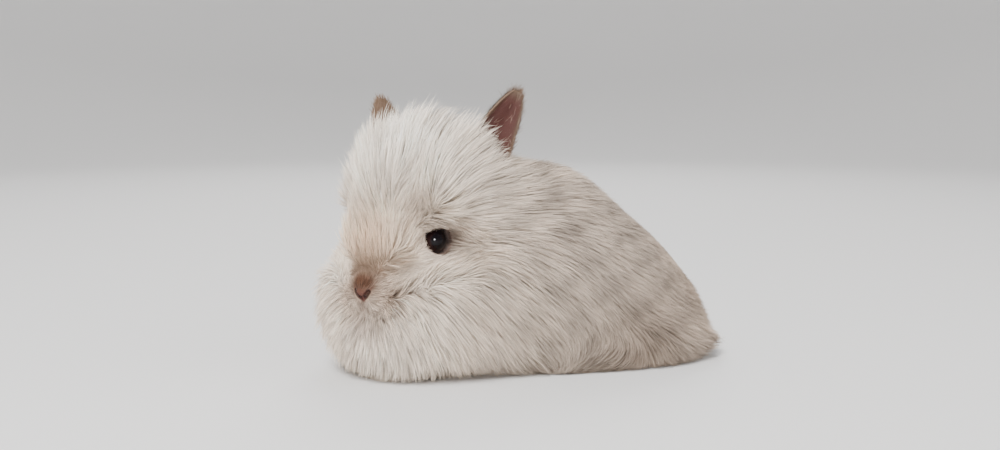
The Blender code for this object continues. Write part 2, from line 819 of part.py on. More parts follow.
def main():
    rabbit, guides = fresh_collections()
    half = GAP / 2
    seams = {}
    for label, start in (("head", NECK_START), ("torso", NECK_START + NECK_LENGTH)):
        seams[label, "front"] = neck_dome("seam", start - half, guides)
        seams[label, "rear"] = neck_dome("seam", start + half, guides)

    eyes, sockets = make_eyes(rabbit, guides)
    forelegs, feet = {}, {}
    for side, sign in SIDES:
        forelegs[side] = make_leg("foreleg_" + side, FORELEG, -sign, rabbit)
        feet[side] = make_leg("hindleg_" + side, HINDFOOT, -sign, rabbit)
    fore_room = [grown_copy(leg, GAP, guides, "limb_room") for leg in forelegs.values()]
    foot_room = [grown_copy(foot, GAP, guides, "limb_room") for foot in feet.values()]

    head, bare = make_head(rabbit, guides, [seams["head", "front"]] + fore_room)
    ear_room = [make_ear("ear_room", side, guides, EAR_CLEAR) for side in EAR_TIPS]
    candidates = points_of(trunk_solid("roots", ROOT_VOXEL, guides))
    walls = [seams["head", "front"]] + fore_room + ear_room + sockets
    combine(head, make_locks("head", core, candidates, walls, guides), "UNION")
    combine(head, sockets, "DIFFERENCE")
    keep_largest(head)

    neck = trunk_solid("neck", TRUNK_VOXEL, rabbit)
    neck_bare = grown_copy(neck, GAP, guides, "bare")
    for side in EAR_TIPS:
        ear = make_ear("ear_" + side, side, rabbit)
        trim(ear, [bare, neck_bare])
        keep_largest(ear)
        paint(ear, EAR_SKIN)
    walls = [seams["head", "rear"], seams["torso", "front"]] + fore_room + ear_room
    trim(neck, [seams["head", "rear"]], "INTERSECT")
    trim(neck, [seams["torso", "front"]] + fore_room)
    combine(neck, make_locks("neck", core, candidates, walls, guides), "UNION")
    keep_largest(neck)

    rooms = make_haunch_rooms(guides)
    torso = trunk_solid("torso", TRUNK_VOXEL, rabbit)
    torso_bare = grown_copy(torso, GAP, guides, "bare")
    tail_room = ball("tail_room", TAIL_ROOM[0], TAIL_ROOM[1], guides)
    cutters = [rooms[side, "other"] for side, _ in SIDES] + fore_room + foot_room
    trim(torso, [seams["torso", "rear"]], "INTERSECT")
    trim(torso, cutters)
    walls = [seams["torso", "rear"], tail_room] + cutters
    combine(torso, make_locks("torso", core, candidates, walls, guides), "UNION")
    keep_largest(torso)
    for side, foot in feet.items():
        haunch = trunk_solid("haunch", TRUNK_VOXEL, guides)
        trim(haunch, [rooms[side, "own"]], "INTERSECT")
        locks = make_locks(foot.name, core, candidates, [rooms[side, "own"]], guides)
        combine(foot, [haunch] + locks, "UNION")
        keep_largest(foot)

    tail = soft_solid("tail", [(TAIL_COAT, False)], tail_core, TAIL_VOXEL, rabbit, BELLY_HEIGHT)
    tail_points = points_of(tail)
    trim(tail, [torso_bare])
    locks = make_locks("tail", tail_core, tail_points, [tail_room, torso_bare], guides)
    combine(tail, locks, "UNION")
    keep_largest(tail)

    for obj in (head, neck, *forelegs.values()):
        paint(obj, COAT_CREAM)
    for obj in (torso, *feet.values()):
        paint(obj, COAT_BEIGE)
    paint(tail, COAT_TAN)
    for eye in eyes:
        paint(eye, EYE_DARK)
    for guide in list(guides.objects):
        bpy.data.objects.remove(guide)
    stand_at_origin(rabbit)


main()
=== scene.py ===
"""Looks of a young teddy dwarf rabbit: skin, ears, eyes, claws and a long, soft coat.

Lengths are in millimetres of a design frame and become metres as each mesh is made. The
body is a set of soft masses. One set gives the skin and one the tips of the coat, and
every depth of the coat between the two is a blend of them. Strands of hair start at the
skin and rise through those depths along the lie of the coat.
"""
import math

import bmesh
import bpy
import numpy as np
from mathutils import Matrix, Vector
from mathutils.kdtree import KDTree

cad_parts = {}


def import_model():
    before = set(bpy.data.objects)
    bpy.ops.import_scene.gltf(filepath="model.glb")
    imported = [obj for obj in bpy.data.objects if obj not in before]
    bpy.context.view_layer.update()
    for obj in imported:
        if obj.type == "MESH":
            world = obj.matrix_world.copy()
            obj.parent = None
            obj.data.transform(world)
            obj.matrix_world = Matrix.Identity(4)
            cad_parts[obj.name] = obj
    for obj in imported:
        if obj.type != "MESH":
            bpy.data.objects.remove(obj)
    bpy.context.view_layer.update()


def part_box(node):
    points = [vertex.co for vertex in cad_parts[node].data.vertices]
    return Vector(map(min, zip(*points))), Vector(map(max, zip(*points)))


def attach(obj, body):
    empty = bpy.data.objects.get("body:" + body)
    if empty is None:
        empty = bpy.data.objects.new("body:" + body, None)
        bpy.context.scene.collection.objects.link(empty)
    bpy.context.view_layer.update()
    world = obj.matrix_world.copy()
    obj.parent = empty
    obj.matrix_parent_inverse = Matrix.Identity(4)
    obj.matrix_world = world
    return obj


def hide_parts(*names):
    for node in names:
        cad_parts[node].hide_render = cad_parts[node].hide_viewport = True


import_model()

MM = 0.001
SEED = 11

# Head frame: forward along the muzzle, left, up. Body frame: +X to the rump, +Y right.
HEAD_AT = np.array([-60.0, -14.0, 64.0])
FACE_YAW = math.radians(41.5)
FORWARD = np.array([-math.cos(FACE_YAW), -math.sin(FACE_YAW), 0.0])
LEFT = np.array([math.sin(FACE_YAW), -math.cos(FACE_YAW), 0.0])
HEAD_AXES = np.stack([FORWARD, LEFT, [0.0, 0.0, 1.0]])
SIDES = (("left", 1), ("right", -1))

# Face
EYE_RADIUS = 6.4
EYE_AT = (1.0, 15.6, 0.0)
EYE_OUT = (0.45, 0.89, 0.06)
CORNEA_ANGLE = math.radians(62)
CORNEA_BULGE = 0.9
EYE_INSET = 0.12
EYE_BARE = 9.0
SOCKET_GAP = 0.05
SOCKET_BLEND = 0.3
LID_RING = 6.45
LID_TUBE = 1.05
LID_FORWARD = 1.95
LID_CORNER = 0.6
LID_TILT = math.radians(-14)
LID_BLEND = 2.2
NOSE = ((30.5, 0.0, -19.5), (3.4, 4.0, 3.1), 0)
NOSE_TOP = -19.0
NOSE_FOOT = -24.6
NOSE_SLANT = 0.70
NOSTRIL = ((32.7, 3.2, -19.5), (33.3, 0.9, -23.2))
NOSTRIL_RADIUS = 0.82
NOSTRIL_BLEND = 0.5
NOSTRIL_BARE = 1.3
UPPER_LIP = ((27.0, 4.2, -24.8), (5.6, 5.0, 4.6), 0)
LOWER_LIP = ((24.0, 0.0, -31.0), (5.6, 5.0, 3.4), 0)
MOUTH_HEIGHT = -28.4
MOUTH_CUT = ((17.0, 0.0, MOUTH_HEIGHT), (15.5, 11.5, 0.5), 0)
MOUTH_BLEND = 0.9
CLEFT_CUT = ((32.5, 0.0, -24.6), (3.6, 0.4, 3.6), 0)
CLEFT_BLEND = 1.0
CLEFT_HEIGHT = -26.2
CLEFT_REACH = 2.2
LIPS_FROM = 26

# Ears
EAR_BASE = (-27.0, 15.0, 17.0)
EAR_TIPS = {"left": (-37.0, 39.0, 66.0), "right": (-37.0, 37.5, 62.0)}
EAR_OPENINGS = {"left": (0.6, 0.8, 0.0), "right": (-0.4, 0.92, 0.0)}
EAR_HALF_WIDTH = 10.5
EAR_CUP_DEPTH = 6.5
EAR_WIDEST = 0.38
EAR_WALL = 1.3
EAR_RIM = 0.25
EAR_WRAP = 150
EAR_OPENED = 65
EAR_RIDGE = 0.35
EAR_ENDS = (0.02, 0.985)
EAR_ROUND = 30
EAR_LONG = 44
EAR_STEP = 0.01

# Skin mesh
SKIN_VOXEL = 2.0
FACE_REFINES = (
    ((12, 0, -6), 30.0),
    ((30, 0, -24), 13.0),
    ((4, 18, 0), 10.5),
    ((31, 0, -21), 8.0),
    ((4, 18, 0), 8.5),
    ((4, 18, 0), 8.0),
)
SKIN_REFINED_AT = (12, 0, -6)
SKIN_REFINED_REACH = 34
SKIN_LOWEST = 0.2

# How widely the masses blend into each other
HEAD_SKIN_BLEND = 7.0
BODY_SKIN_BLEND = 12.0
NECK_SKIN_BLEND = 8.0
HEAD_COAT_BLEND = 10.0
BODY_COAT_BLEND = 16.0
NECK_COAT_BLEND = 20.0
EYE_POCKET_BLEND = 8.0
NOSE_POCKET_BLEND = 6.0
PARTING_BLEND = 3.0
NOSE_BLEND = 2.4
UPPER_LIP_BLEND = 1.6
LOWER_LIP_BLEND = 1.4
LEG_BLEND = 5.0
TAIL_BLEND = 6.0
LIMB_BLEND = 3.0

# Coat: depths run from 0 at the skin to 1 at the tips
STATIONS = 5
ROOT_DEPTH = 0.05
LEAST_COAT = 1.2
DOWN_SHARE = 0.46
DOWN_FROM = 3.0
DOWN_OVER = 8.0
COVERAGE = 9.0
SPREAD_DEPTH = 0.8
MOST_SPREAD = 3.5
TUFT = 12.0
HAIR_LENGTHS = (3.2, 26.0)
HAIR_WIDTHS = (0.15, 0.34)
STRAND_PROFILE = (0.75, 1.0, 0.85, 0.55)
STRAND_TONES = (0.66, 0.90, 1.08)
TIP_DEPTHS = (0.88, 1.07)
SWAY = 12
RISE = 0.25
LENGTH_CHANGE = (0.97, 0.12)
LENGTH_LIMITS = (0.45, 1.12)
WIDTH_CHANGE = (0.6, 1.3)
CLUMP = (0.02, 0.45)
ROLL = 0.6
STRAY_SHARE = 0.09
STRAY = 3.2
HAIR_LOWEST = 0.25
TONE_CHANGE = 0.13
PAD_TONE_CHANGE = 0.4
PATCH = 0.003
PIECE_LIMIT = 195000
WHISKER_WIDTH = 0.22
WHISKER_LENGTHS = (20, 30)
WHISKER_PAD = (29, 10, -23)
WHISKER_PAD_REACH = 5.5

# Fur inside and outside an ear: hairs a square millimetre, lengths, rise and widths
EAR_HAIRS = (0.06, 7.0)
EAR_HAIR_LENGTHS = (5.0, 3.2)
EAR_HAIR_RISES = (0.5, 0.38)
EAR_HAIR_WIDTHS = (0.09, 0.18)

# Slow swings of the lie, in radians, and changes in tone from lock to lock, with painted shade
# between locks
RUFFLE_WAVES = (
    ((0.21, 0.13, 0.17), 0.5, 0.15),
    ((-0.11, 0.29, 0.23), 2.1, 0.12),
    ((0.37, -0.19, -0.31), 4.0, 0.10),
)
LOCK_WAVES = (
    ((0.62, 0.35, 0.48), 0.3, 0.04),
    ((-0.41, 0.77, 0.52), 1.9, 0.04),
    ((0.93, -0.48, 0.36), 3.3, 0.04),
    ((0.28, 0.55, -0.86), 5.2, 0.04),
    ((0.22, -0.16, 0.25), 1.1, 0.10),
    ((-0.19, 0.24, 0.31), 4.4, 0.09),
)
TRIANGLES_EACH = 2 * (STATIONS - 2) + 1
HEAD_REGION = ((-10, 0, -4), (42, 32, 36), 0)

# Feet with claws: front of the left foot, toes, room between them, length of a claw
CLAWED_FEET = (
    ((5.5, 33.0, 3.4), 4, 2.9, 4.2),
    ((-69.5, 16.0, 3.6), 5, 2.3, 3.2),
)
CLAW_ROUND = 8
CLAW_STEPS = 4

# Stage, in metres
FLOOR_RADIUS = 1.5
FLOOR_CURVE = 1.0
FLOOR_CURVE_STEPS = 16
FLOOR_ROUND = 96
WALL_HEIGHT = 2.4

# Lights: name, place and target in metres, size, power, and whether only its glint shows
LIGHTS = (
    ("key", (-0.7, -0.9, 1.2), (-0.03, 0, 0.06), 0.6, 46, False),
    ("fill", (1.0, -0.9, 0.6), (0, 0, 0.05), 1.2, 7, False),
    ("rim", (0.3, 1.0, 1.1), (0, 0, 0.06), 0.9, 13, False),
    ("catch", (-0.20, -0.62, 0.17), (-0.06, -0.02, 0.06), 0.09, 7.0, True),
)

# Camera
CAMERA_AZIMUTH = math.radians(-20)
CAMERA_ELEVATION = math.radians(7)
CAMERA_DISTANCE = 500.0
PHOTO_SIZE = (1000, 450)
HEAD_PIXEL = (404.0, 237.0)
LENS = 40.0
SENSOR = 36.0


def mirrored(point, side):
    """A head or body point given for one side, taken to the other where side is -1."""
    return np.array(point, float) * (1, side, 1)


def mirrored_mass(mass, side):
    return (mirrored(mass[0], side), *mass[1:])


def sides_of(place):
    """Both sides for a place off the middle plane, otherwise one."""
    return (1, -1) if place[1] else (1,)


def both_sides(masses):
    """Adds the mirror image of every mass that is off the middle plane."""
    return [mirrored_mass(mass, side) for mass in masses for side in sides_of(mass[0])]


# Masses: centre, radii, tilt in degrees with the front end going down
HEAD_SKIN = both_sides([
    ((-14, 0, 3), (25, 18.5, 20), 0),
    ((3, 0, -1), (20, 15.5, 17), 20),
    ((15, 0, -14), (17, 10.5, 11.5), 25),
    ((22, 5.2, -21.5), (8.5, 6.2, 7), 0),
    ((-4, 10, -15), (17, 10, 14), 0),
    ((12, 0, -28.5), (9, 7, 5.5), 0),
])
HEAD_COAT = both_sides([
    ((-12, 0, 20), (33, 34, 37), 0),
    ((-20, 10, 30), (22, 29, 28), 0),
    ((-4, 15, 17), (19, 19, 23), 0),
    ((9, 0, 12), (18, 23, 33), 12),
    ((-3, 22, -23), (28, 24, 27), 0),
    ((13, 0, -16), (20, 17, 16), 20),
    ((7, 0, -32), (20, 20, 15), 0),
    ((-28, 0, -4), (28, 36, 36), 0),
    ((10, 14, -3), (19, 17, 17), 0),
    ((13, 0, -3), (15, 15, 16), 0),
    ((-22, 23, 38), (13, 13, 16), 0),
]) + [((17, -17, -1), (14, 13, 21), 0)]
EYE_POCKET = ((9, 36, -0.5), (11.5, 21.5, 9), 0)
NOSE_POCKET = ((43, 0, -20.5), (15.5, 12.5, 13.5), 0)
PARTINGS = (
    ((17, 20, 5), (19, 19, 24), 4.2),
    ((19, 19, 24), (10, 17, 44), 3.4),
    ((14, 21, -7), (27, 12, -15), 3.2),
)
BODY_SKIN = both_sides([
    ((-16, 0, 44), (44, 28, 34), 0),
    ((16, 0, 44), (40, 31, 38), 0),
    ((42, 0, 32), (38, 30, 34), 0),
    ((46, 20, 28), (32, 17, 27), 0),
    ((-46, 3, 36), (24, 20, 27), 0),
])
BODY_COAT = both_sides([
    ((-20, 0, 46), (52, 42, 48), 0),
    ((8, 0, 46), (48, 46, 50), 0),
    ((40, 0, 27), (43, 45, 42), 0),
    ((70, 22, 8.5), (27, 21, 9.5), 0),
    ((42, 23, 13), (36, 24, 14), 0),
    ((-10, 20, 16), (40, 23, 17), 0),
    ((67, 10, 20), (24, 22, 20), 0),
    ((-52, 8, 32), (30, 34, 34), 0),
    ((-66, 10, 17), (22, 24, 18), 0),
])
TAIL_SKIN = [((78, 0, 16), (13, 9, 9), 0)]
TAIL_COAT = [((86, 0, 11.5), (19, 17, 12.5), 0)]
FOOT_COAT = 2.4
LEGS = both_sides([
    ((-44, 15, 26), (11, 9, 18), 0),
    ((-52, 15, 12), (10, 7, 11), 0),
    ((-60, 16, 5), (11, 7, 6.5), 0),
    ((40, 32, 9), (24, 9, 9), 0),
    ((22, 33, 4.5), (18, 7.5, 6), 0),
])

# Lie of the coat: place and direction, in the head frame and in the body frame
HEAD_LIE = [
    ((30, 0, -12), (-0.3, 0, 1)),
    ((26, 0, 5), (-0.1, 0, 1)),
    ((20, 10, 28), (-0.15, 0.12, 1)),
    ((2, 0, 56), (-0.6, 0, 0.8)),
    ((-30, 0, 52), (-1, 0, 0.1)),
    ((16, 18, 12), (-0.2, 0.3, 1)),
    ((-4, 28, 18), (-0.75, 0.25, 0.6)),
    ((-22, 28, 38), (-0.6, 0.4, 0.7)),
    ((-14, 36, 0), (-1, 0.6, 0.0)),
    ((10, 26, -16), (-0.75, 0.5, -0.4)),
    ((0, 38, -28), (-0.6, 0.2, -0.8)),
    ((25, 12, -22), (-0.6, 0.8, -0.1)),
    ((24, 0, -34), (-0.5, 0, -0.9)),
    ((10, 20, -42), (-0.5, 0.3, -0.8)),
    ((-44, 0, 32), (-0.8, 0, -0.6)),
    ((-44, 30, 0), (-1, 0.8, -0.35)),
]
BODY_LIE = [
    ((0, 0, 96), (1, 0, -0.15)),
    ((30, 0, 86), (0.9, 0, -0.4)),
    ((70, 0, 60), (0.7, 0, -0.75)),
    ((98, 0, 25), (0.85, 0, -0.55)),
    ((92, 12, 10), (0.9, 0.3, -0.3)),
    ((-30, 44, 50), (0.35, 0.1, -0.95)),
    ((10, 48, 50), (0.75, 0.1, -0.65)),
    ((52, 44, 35), (0.75, 0.1, -0.65)),
    ((0, 42, 14), (0.6, 0.4, -0.7)),
    ((-80, 10, 35), (-0.1, 0, -1)),
    ((-62, 34, 22), (0.1, 0.3, -0.95)),
    ((-10, 30, 82), (0.9, 0.1, -0.35)),
    ((-14, 40, 66), (0.9, 0.05, -0.4)),
    ((-62, 16, 5), (-0.9, 0, -0.3)),
    ((22, 33, 5), (-1, 0, -0.15)),
]
LIE_REACH = 13.0
LIE_WIDENING = 0.9
EYE_LIE_REACH = 8.5
EYE_LIE_SHARE = 0.75

# Markings and painted shade: place, reach, colour and strength, in the head frame and in the body
# frame
CREAM = (0.84, 0.715, 0.59)
# Beige is the coat's own colour towards the rump, made darker as painted shade on the flank
BEIGE = (0.48, 0.395, 0.325)
HEAD_MARKINGS_AND_SHADE = [
    ((0, 0, 46), 26, (0.95, 0.88, 0.79), 0.9),
    ((26, 0, 24), 12, (0.93, 0.85, 0.75), 0.6),
    ((28, 0, 1), 12, (0.90, 0.66, 0.46), 0.85),
    ((-12, 30, -6), 8, (0.55, 0.45, 0.36), 0.5),
    ((3, 19, 0), 5.5, (0.30, 0.20, 0.16), 0.7),
    # painted shade in the crease behind the eye
    ((-4, 27, 1), 4.5, (0.34, 0.24, 0.18), 0.6),
    ((12, 26, -26), 12, (0.90, 0.80, 0.69), 0.5),
    ((10, 0, -44), 16, (0.88, 0.80, 0.71), 0.8),
    # painted shadow under the cheek
    ((8, 45, -28), 7, (0.42, 0.33, 0.26), 0.55),
    # painted shade above the eye
    ((16, 26.5, 12), 5, (0.46, 0.35, 0.27), 0.5),
    # painted shade in the parting beside the forelock
    ((15, 17, 17), 4.5, (0.50, 0.38, 0.29), 0.5),
    # painted shade along the fold at the front corner of the eye
    ((26, 23.5, -1), 4, (0.34, 0.25, 0.19), 0.6),
    # painted shade in the crease that runs down from the eye's front corner
    ((29.3, 18, -7.5), 3.5, (0.40, 0.30, 0.23), 0.6),
    # painted shadow under the muzzle
    ((30, 4, -36), 4.5, (0.46, 0.37, 0.31), 0.5),
    ((30, 0, -10), 7.5, (0.44, 0.28, 0.18), 0.6),
    ((29.5, 11, -22.5), 8.5, (0.38, 0.27, 0.20), 0.75),
    ((32, 2.2, -15.5), 4.0, (0.10, 0.04, 0.02), 0.95),
    # painted shade in the cleft under the nose and in the mouth
    ((33.5, 0, -25.8), 1.4, (0.12, 0.05, 0.035), 0.95),
    ((32.8, 0, -28.4), 1.3, (0.16, 0.08, 0.06), 0.9),
]
BODY_MARKINGS_AND_SHADE = [
    ((92, 0, 28), 26, (0.38, 0.27, 0.19), 0.7),
    # painted shadow under the haunch
    ((48, 46, 10), 19, (0.24, 0.175, 0.13), 0.7),
    # painted shade low on the flank
    ((0, 42, 12), 18, (0.42, 0.34, 0.27), 0.5),
    # darker on top of the back: the coat's own colour and painted shade
    ((20, 0, 92), 26, (0.54, 0.45, 0.37), 0.6),
]
DOWN_SHADE = (0.88, 0.83, 0.79)
NOSE_PINK = (0.125, 0.046, 0.037)
NOSE_BROWN = (0.08, 0.035, 0.02)
# painted shade inside the nostrils
NOSTRIL_SHADE = (0.03, 0.008, 0.005)
LID_BROWN = (0.022, 0.014, 0.014)
LID_PINK = (0.26, 0.165, 0.14)
EAR_PINK = (0.072, 0.023, 0.018)
EAR_BROWN = (0.21, 0.135, 0.092)
EAR_DOWN = (0.50, 0.37, 0.29)
WHISKER = (0.95, 0.92, 0.88)
BEIGE_FROM = -50
BEIGE_OVER = 60


# Fields

def to_head(p):
    return (p - HEAD_AT) @ HEAD_AXES.T


def from_head(q):
    return np.asarray(q, float) @ HEAD_AXES + HEAD_AT


def ellipsoid(p, mass):
    """Distance, nearly, from points to one tilted ellipsoid."""
    centre, radii, tilt = mass
    q = p - np.array(centre, float)
    if tilt:
        c, s = math.cos(math.radians(tilt)), math.sin(math.radians(tilt))
        q = np.stack([c * q[:, 0] - s * q[:, 2], q[:, 1], s * q[:, 0] + c * q[:, 2]], 1)
    r = np.array(radii, float)
    near = lengths(q / r)
    steep = lengths(q / r ** 2) + 1e-9
    return near * (near - 1) / steep


def soft_min(a, b, k):
    h = np.maximum(k - np.abs(a - b), 0) / k
    return np.minimum(a, b) - h * h * k / 4


def blend(p, masses, k):
    d = ellipsoid(p, masses[0])
    for mass in masses[1:]:
        d = soft_min(d, ellipsoid(p, mass), k)
    return d


def hollowed(d, p, mass, k):
    """The field d with one mass pressed out of it."""
    return -soft_min(-d, ellipsoid(p, mass), k)


def trunk_skin(p):
    """The skin of head and body, without legs, tail and muzzle."""
    head = blend(to_head(p), HEAD_SKIN, HEAD_SKIN_BLEND)
    return soft_min(head, blend(p, BODY_SKIN, BODY_SKIN_BLEND), NECK_SKIN_BLEND)


def along_segment(p, start, end):
    """Distance to a straight line between two places."""
    a, b = np.array(start, float), np.array(end, float)
    t = np.clip((p - a) @ (b - a) / ((b - a) @ (b - a)), 0, 1)
    return lengths(p - a - t[:, None] * (b - a))


def trunk_coat(p):
    """The tips of the coat, which leave the eyes and the nose bare and part on the face."""
    q = to_head(p)
    head = blend(q, HEAD_COAT, HEAD_COAT_BLEND)
    d = soft_min(head, blend(p, BODY_COAT, BODY_COAT_BLEND), NECK_COAT_BLEND)
    for _, sign in SIDES:
        d = hollowed(d, q, mirrored_mass(EYE_POCKET, sign), EYE_POCKET_BLEND)
        for start, end, radius in PARTINGS:
            furrow = along_segment(q, mirrored(start, sign), mirrored(end, sign)) - radius
            d = -soft_min(-d, furrow, PARTING_BLEND)
    return hollowed(d, q, NOSE_POCKET, NOSE_POCKET_BLEND)


def muzzle(p, bare):
    """The skin with the nose and the lips, before the cuts of the mouth."""
    q = to_head(p)
    bare = soft_min(bare, ellipsoid(q, NOSE), NOSE_BLEND)
    for _, sign in SIDES:
        bare = soft_min(bare, ellipsoid(q, mirrored_mass(UPPER_LIP, sign)), UPPER_LIP_BLEND)
    return soft_min(bare, ellipsoid(q, LOWER_LIP), LOWER_LIP_BLEND)


def limbs(p, t):
    """Legs and tail at one depth of their coat."""
    legs = blend(p, LEGS, LEG_BLEND) + FOOT_COAT * (1 - t)
    tail = (1 - t) * blend(p, TAIL_SKIN, TAIL_BLEND) + t * blend(p, TAIL_COAT, TAIL_BLEND)
    return soft_min(legs, tail, LIMB_BLEND)


def layer(p, t):
    """The coat at one depth t, from 0 at the skin to 1 at the tips.

    Where the coat is deep, 0 is at the top of its down, which is matted and part of the skin.
    """
    bare = muzzle(p, trunk_skin(p))
    tips = np.minimum(trunk_coat(p), bare - LEAST_COAT)
    matted = DOWN_SHARE * np.clip((bare - tips - DOWN_FROM) / DOWN_OVER, 0, 1)
    t_trunk = matted + (1 - matted) * t
    return soft_min((1 - t_trunk) * bare + t_trunk * tips, limbs(p, t), LIMB_BLEND)


def body(p):
    """The skin without the fine forms of the face."""
    return layer(p, 0.0)


def tips(p):
    """The surface of the coat, at the tips of its hair."""
    return layer(p, 1.0)


def eye_centre(sign):
    return from_head(mirrored(EYE_AT, sign))


def eye_axes(sign):
    """Out of the eye, towards its front corner, and up across it."""
    out = unit(mirrored(EYE_OUT, sign)) @ HEAD_AXES
    front = unit(FORWARD - (FORWARD @ out) * out)
    up = np.cross(out, front) * sign
    c, s = math.cos(LID_TILT), math.sin(LID_TILT)
    return out, front * c + up * s, up * c - front * s


def off_eyeball(p, sign):
    """Distance to the round surface of one eyeball."""
    return lengths(p - eye_centre(sign)) - EYE_RADIUS


def off_nostril(q, sign):
    """Distance to the line along the middle of one nostril."""
    return along_segment(q, mirrored(NOSTRIL[0], sign), mirrored(NOSTRIL[1], sign))


def mouth_line(q, half_height):
    """1 at the height of the mouth, fading over a half height."""
    return np.exp(-((q[:, 2] - MOUTH_HEIGHT) / half_height) ** 2)


def cleft_line(q, half_width):
    """1 along the cleft from the nose to the mouth, fading over a half width."""
    in_height = np.abs(q[:, 2] - CLEFT_HEIGHT) < CLEFT_REACH
    return np.exp(-(q[:, 1] / half_width) ** 2) * in_height * (q[:, 0] > LIPS_FROM)


def lid_ring(p, sign):
    """Distance to the rim of the lids, a ring that is drawn out at both corners."""
    out, front, up = eye_axes(sign)
    q = p - eye_centre(sign)
    along = q @ out
    x, y = q @ front, q @ up
    radial = np.hypot(x, y) + 1e-6
    corner = LID_CORNER * (np.abs(x) / radial) ** 6
    ring = LID_RING + corner
    return np.hypot(radial - ring, along - LID_FORWARD + 0.5 * corner) - LID_TUBE


def skin(p):
    """The skin with nose, lips, mouth and lids."""
    q = to_head(p)
    d = hollowed(body(p), q, MOUTH_CUT, MOUTH_BLEND)
    d = hollowed(d, q, CLEFT_CUT, CLEFT_BLEND)
    for _, sign in SIDES:
        d = -soft_min(-d, off_nostril(q, sign) - NOSTRIL_RADIUS, NOSTRIL_BLEND)
        d = soft_min(d, lid_ring(p, sign), LID_BLEND)
        d = -soft_min(-d, off_eyeball(p, sign) - SOCKET_GAP, SOCKET_BLEND)
    return d


def slope(field, p):
    """Gradient of a field at points."""
    e = 0.3
    axes = np.eye(3) * e
    return np.stack([field(p + a) - field(p - a) for a in axes], 1) / (2 * e)


def lengths(v):
    return np.linalg.norm(v, axis=1)


def unit(v):
    return v / (np.linalg.norm(v, axis=-1, keepdims=True) + 1e-9)


def draw_onto(field, p, rounds, reach=4.0):
    """Moves points to where the field is zero."""
    for _ in range(rounds):
        way = slope(field, p)
        way /= np.linalg.norm(way, axis=1, keepdims=True) + 1e-6
        p = p - 0.85 * np.clip(field(p), -reach, reach)[:, None] * way
    return p


def spread(head_items, body_items):
    """Rows of places with values, for both sides, all in the body frame."""
    rows = []
    for items, in_head in ((head_items, True), (body_items, False)):
        for place, *rest in items:
            for side in sides_of(place):
                there = mirrored(place, side)
                if in_head:
                    there = from_head(there)
                rows.append((there, side, in_head, rest))
    return rows


def lie_table():
    """Places and directions of the lie for both sides, in the body frame."""
    places, ways = [], []
    for place, side, in_head, (way,) in spread(HEAD_LIE, BODY_LIE):
        way = mirrored(way, side)
        places.append(place)
        ways.append(way @ HEAD_AXES if in_head else way)
    return np.array(places), unit(np.array(ways))


LIE_PLACES, LIE_WAYS = lie_table()


def lie(p):
    """Direction in which the coat runs at points, not yet laid on the surface."""
    d2 = np.sum((p[:, None] - LIE_PLACES[None]) ** 2, 2)
    nearest = np.min(d2, 1, keepdims=True)
    w = np.exp(-(d2 - nearest) / (2 * LIE_REACH ** 2 + LIE_WIDENING * nearest))
    way = unit(w @ LIE_WAYS)
    for _, sign in SIDES:
        away = p - eye_centre(sign)
        reach = np.linalg.norm(away, axis=1, keepdims=True)
        near = EYE_LIE_SHARE * np.exp(-(reach / EYE_LIE_REACH) ** 4)
        way = unit(way * (1 - near) + unit(away) * near)
    return way


# Markings and painted shade

def mixed(colour, other, share):
    return np.asarray(colour) * (1 - share) + np.array(other) * share


def spot(p, place, reach):
    """1 at one place, fading away from it."""
    return np.exp(-np.sum((p - place) ** 2, 1) / (2 * reach ** 2))


def tint(p):
    """Colour of skin and coat at places: markings, and painted shade in creases, partings and under
    the cheeks and the haunches.
    """
    # beige towards the rump: its own colour, with painted shade on the flank
    toward_rump = np.clip((p[:, 0] - BEIGE_FROM) / BEIGE_OVER, 0, 1)[:, None]
    colour = mixed(CREAM, BEIGE, toward_rump)
    for place, _, _, (reach, spot_colour, strength) in spread(HEAD_MARKINGS_AND_SHADE, BODY_MARKINGS_AND_SHADE):
        colour = mixed(colour, spot_colour, strength * spot(p, place, reach)[:, None])
    return colour


def bare_tint(p):
    """Colour of the skin, with its pink nose and the dark rims of its eyes, and painted shade in the
    nostrils, along the mouth and in the cleft under the nose.
    """
    colour = tint(p) * np.array(DOWN_SHADE)
    q = to_head(p)
    nose = nose_pad(q)[:, None]
    brow = np.clip((q[:, 2:] - NOSE_TOP) / 3.0 + 1, 0, 1)
    colour = mixed(colour, mixed(NOSE_PINK, NOSE_BROWN, 0.8 * brow), nose)
    for _, sign in SIDES:
        # painted shade inside each nostril
        dark = np.exp(-(off_nostril(q, sign) / (NOSTRIL_RADIUS + 0.4)) ** 8)[:, None]
        colour = mixed(colour, NOSTRIL_SHADE, dark)
    # painted shade along the mouth and in the cleft under the nose
    mouth_and_cleft_shade = mouth_line(q, 0.8) * np.clip((q[:, 0] - 20) / 4, 0, 1)
    mouth_and_cleft_shade = np.maximum(mouth_and_cleft_shade, cleft_line(q, 0.6))
    colour = colour * (1 - 0.6 * mouth_and_cleft_shade[:, None])
    for _, sign in SIDES:
        lid = np.exp(-(np.maximum(lid_ring(p, sign), 0) / 1.6) ** 2)[:, None]
        colour = mixed(colour, LID_PINK, 0.8 * lid)
        rim = np.exp(-(np.maximum(off_eyeball(p, sign), 0) / 0.28) ** 2)[:, None]
        colour = mixed(colour, LID_BROWN, rim)
    return colour


# Meshes

SHIFT = np.mean(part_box("eye_left"), axis=0) / MM - eye_centre(1)


def world(p):
    """Design millimetres as metres of the frame."""
    return (p + SHIFT) * MM


def placed(name, data):
    """A new object in the scene."""
    obj = bpy.data.objects.new(name, data)
    bpy.context.scene.collection.objects.link(obj)
    return obj


def new_object(name, mesh):
    """A piece of the model with its slot."""
    obj = placed(name, mesh)
    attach(obj, "root")
    return obj


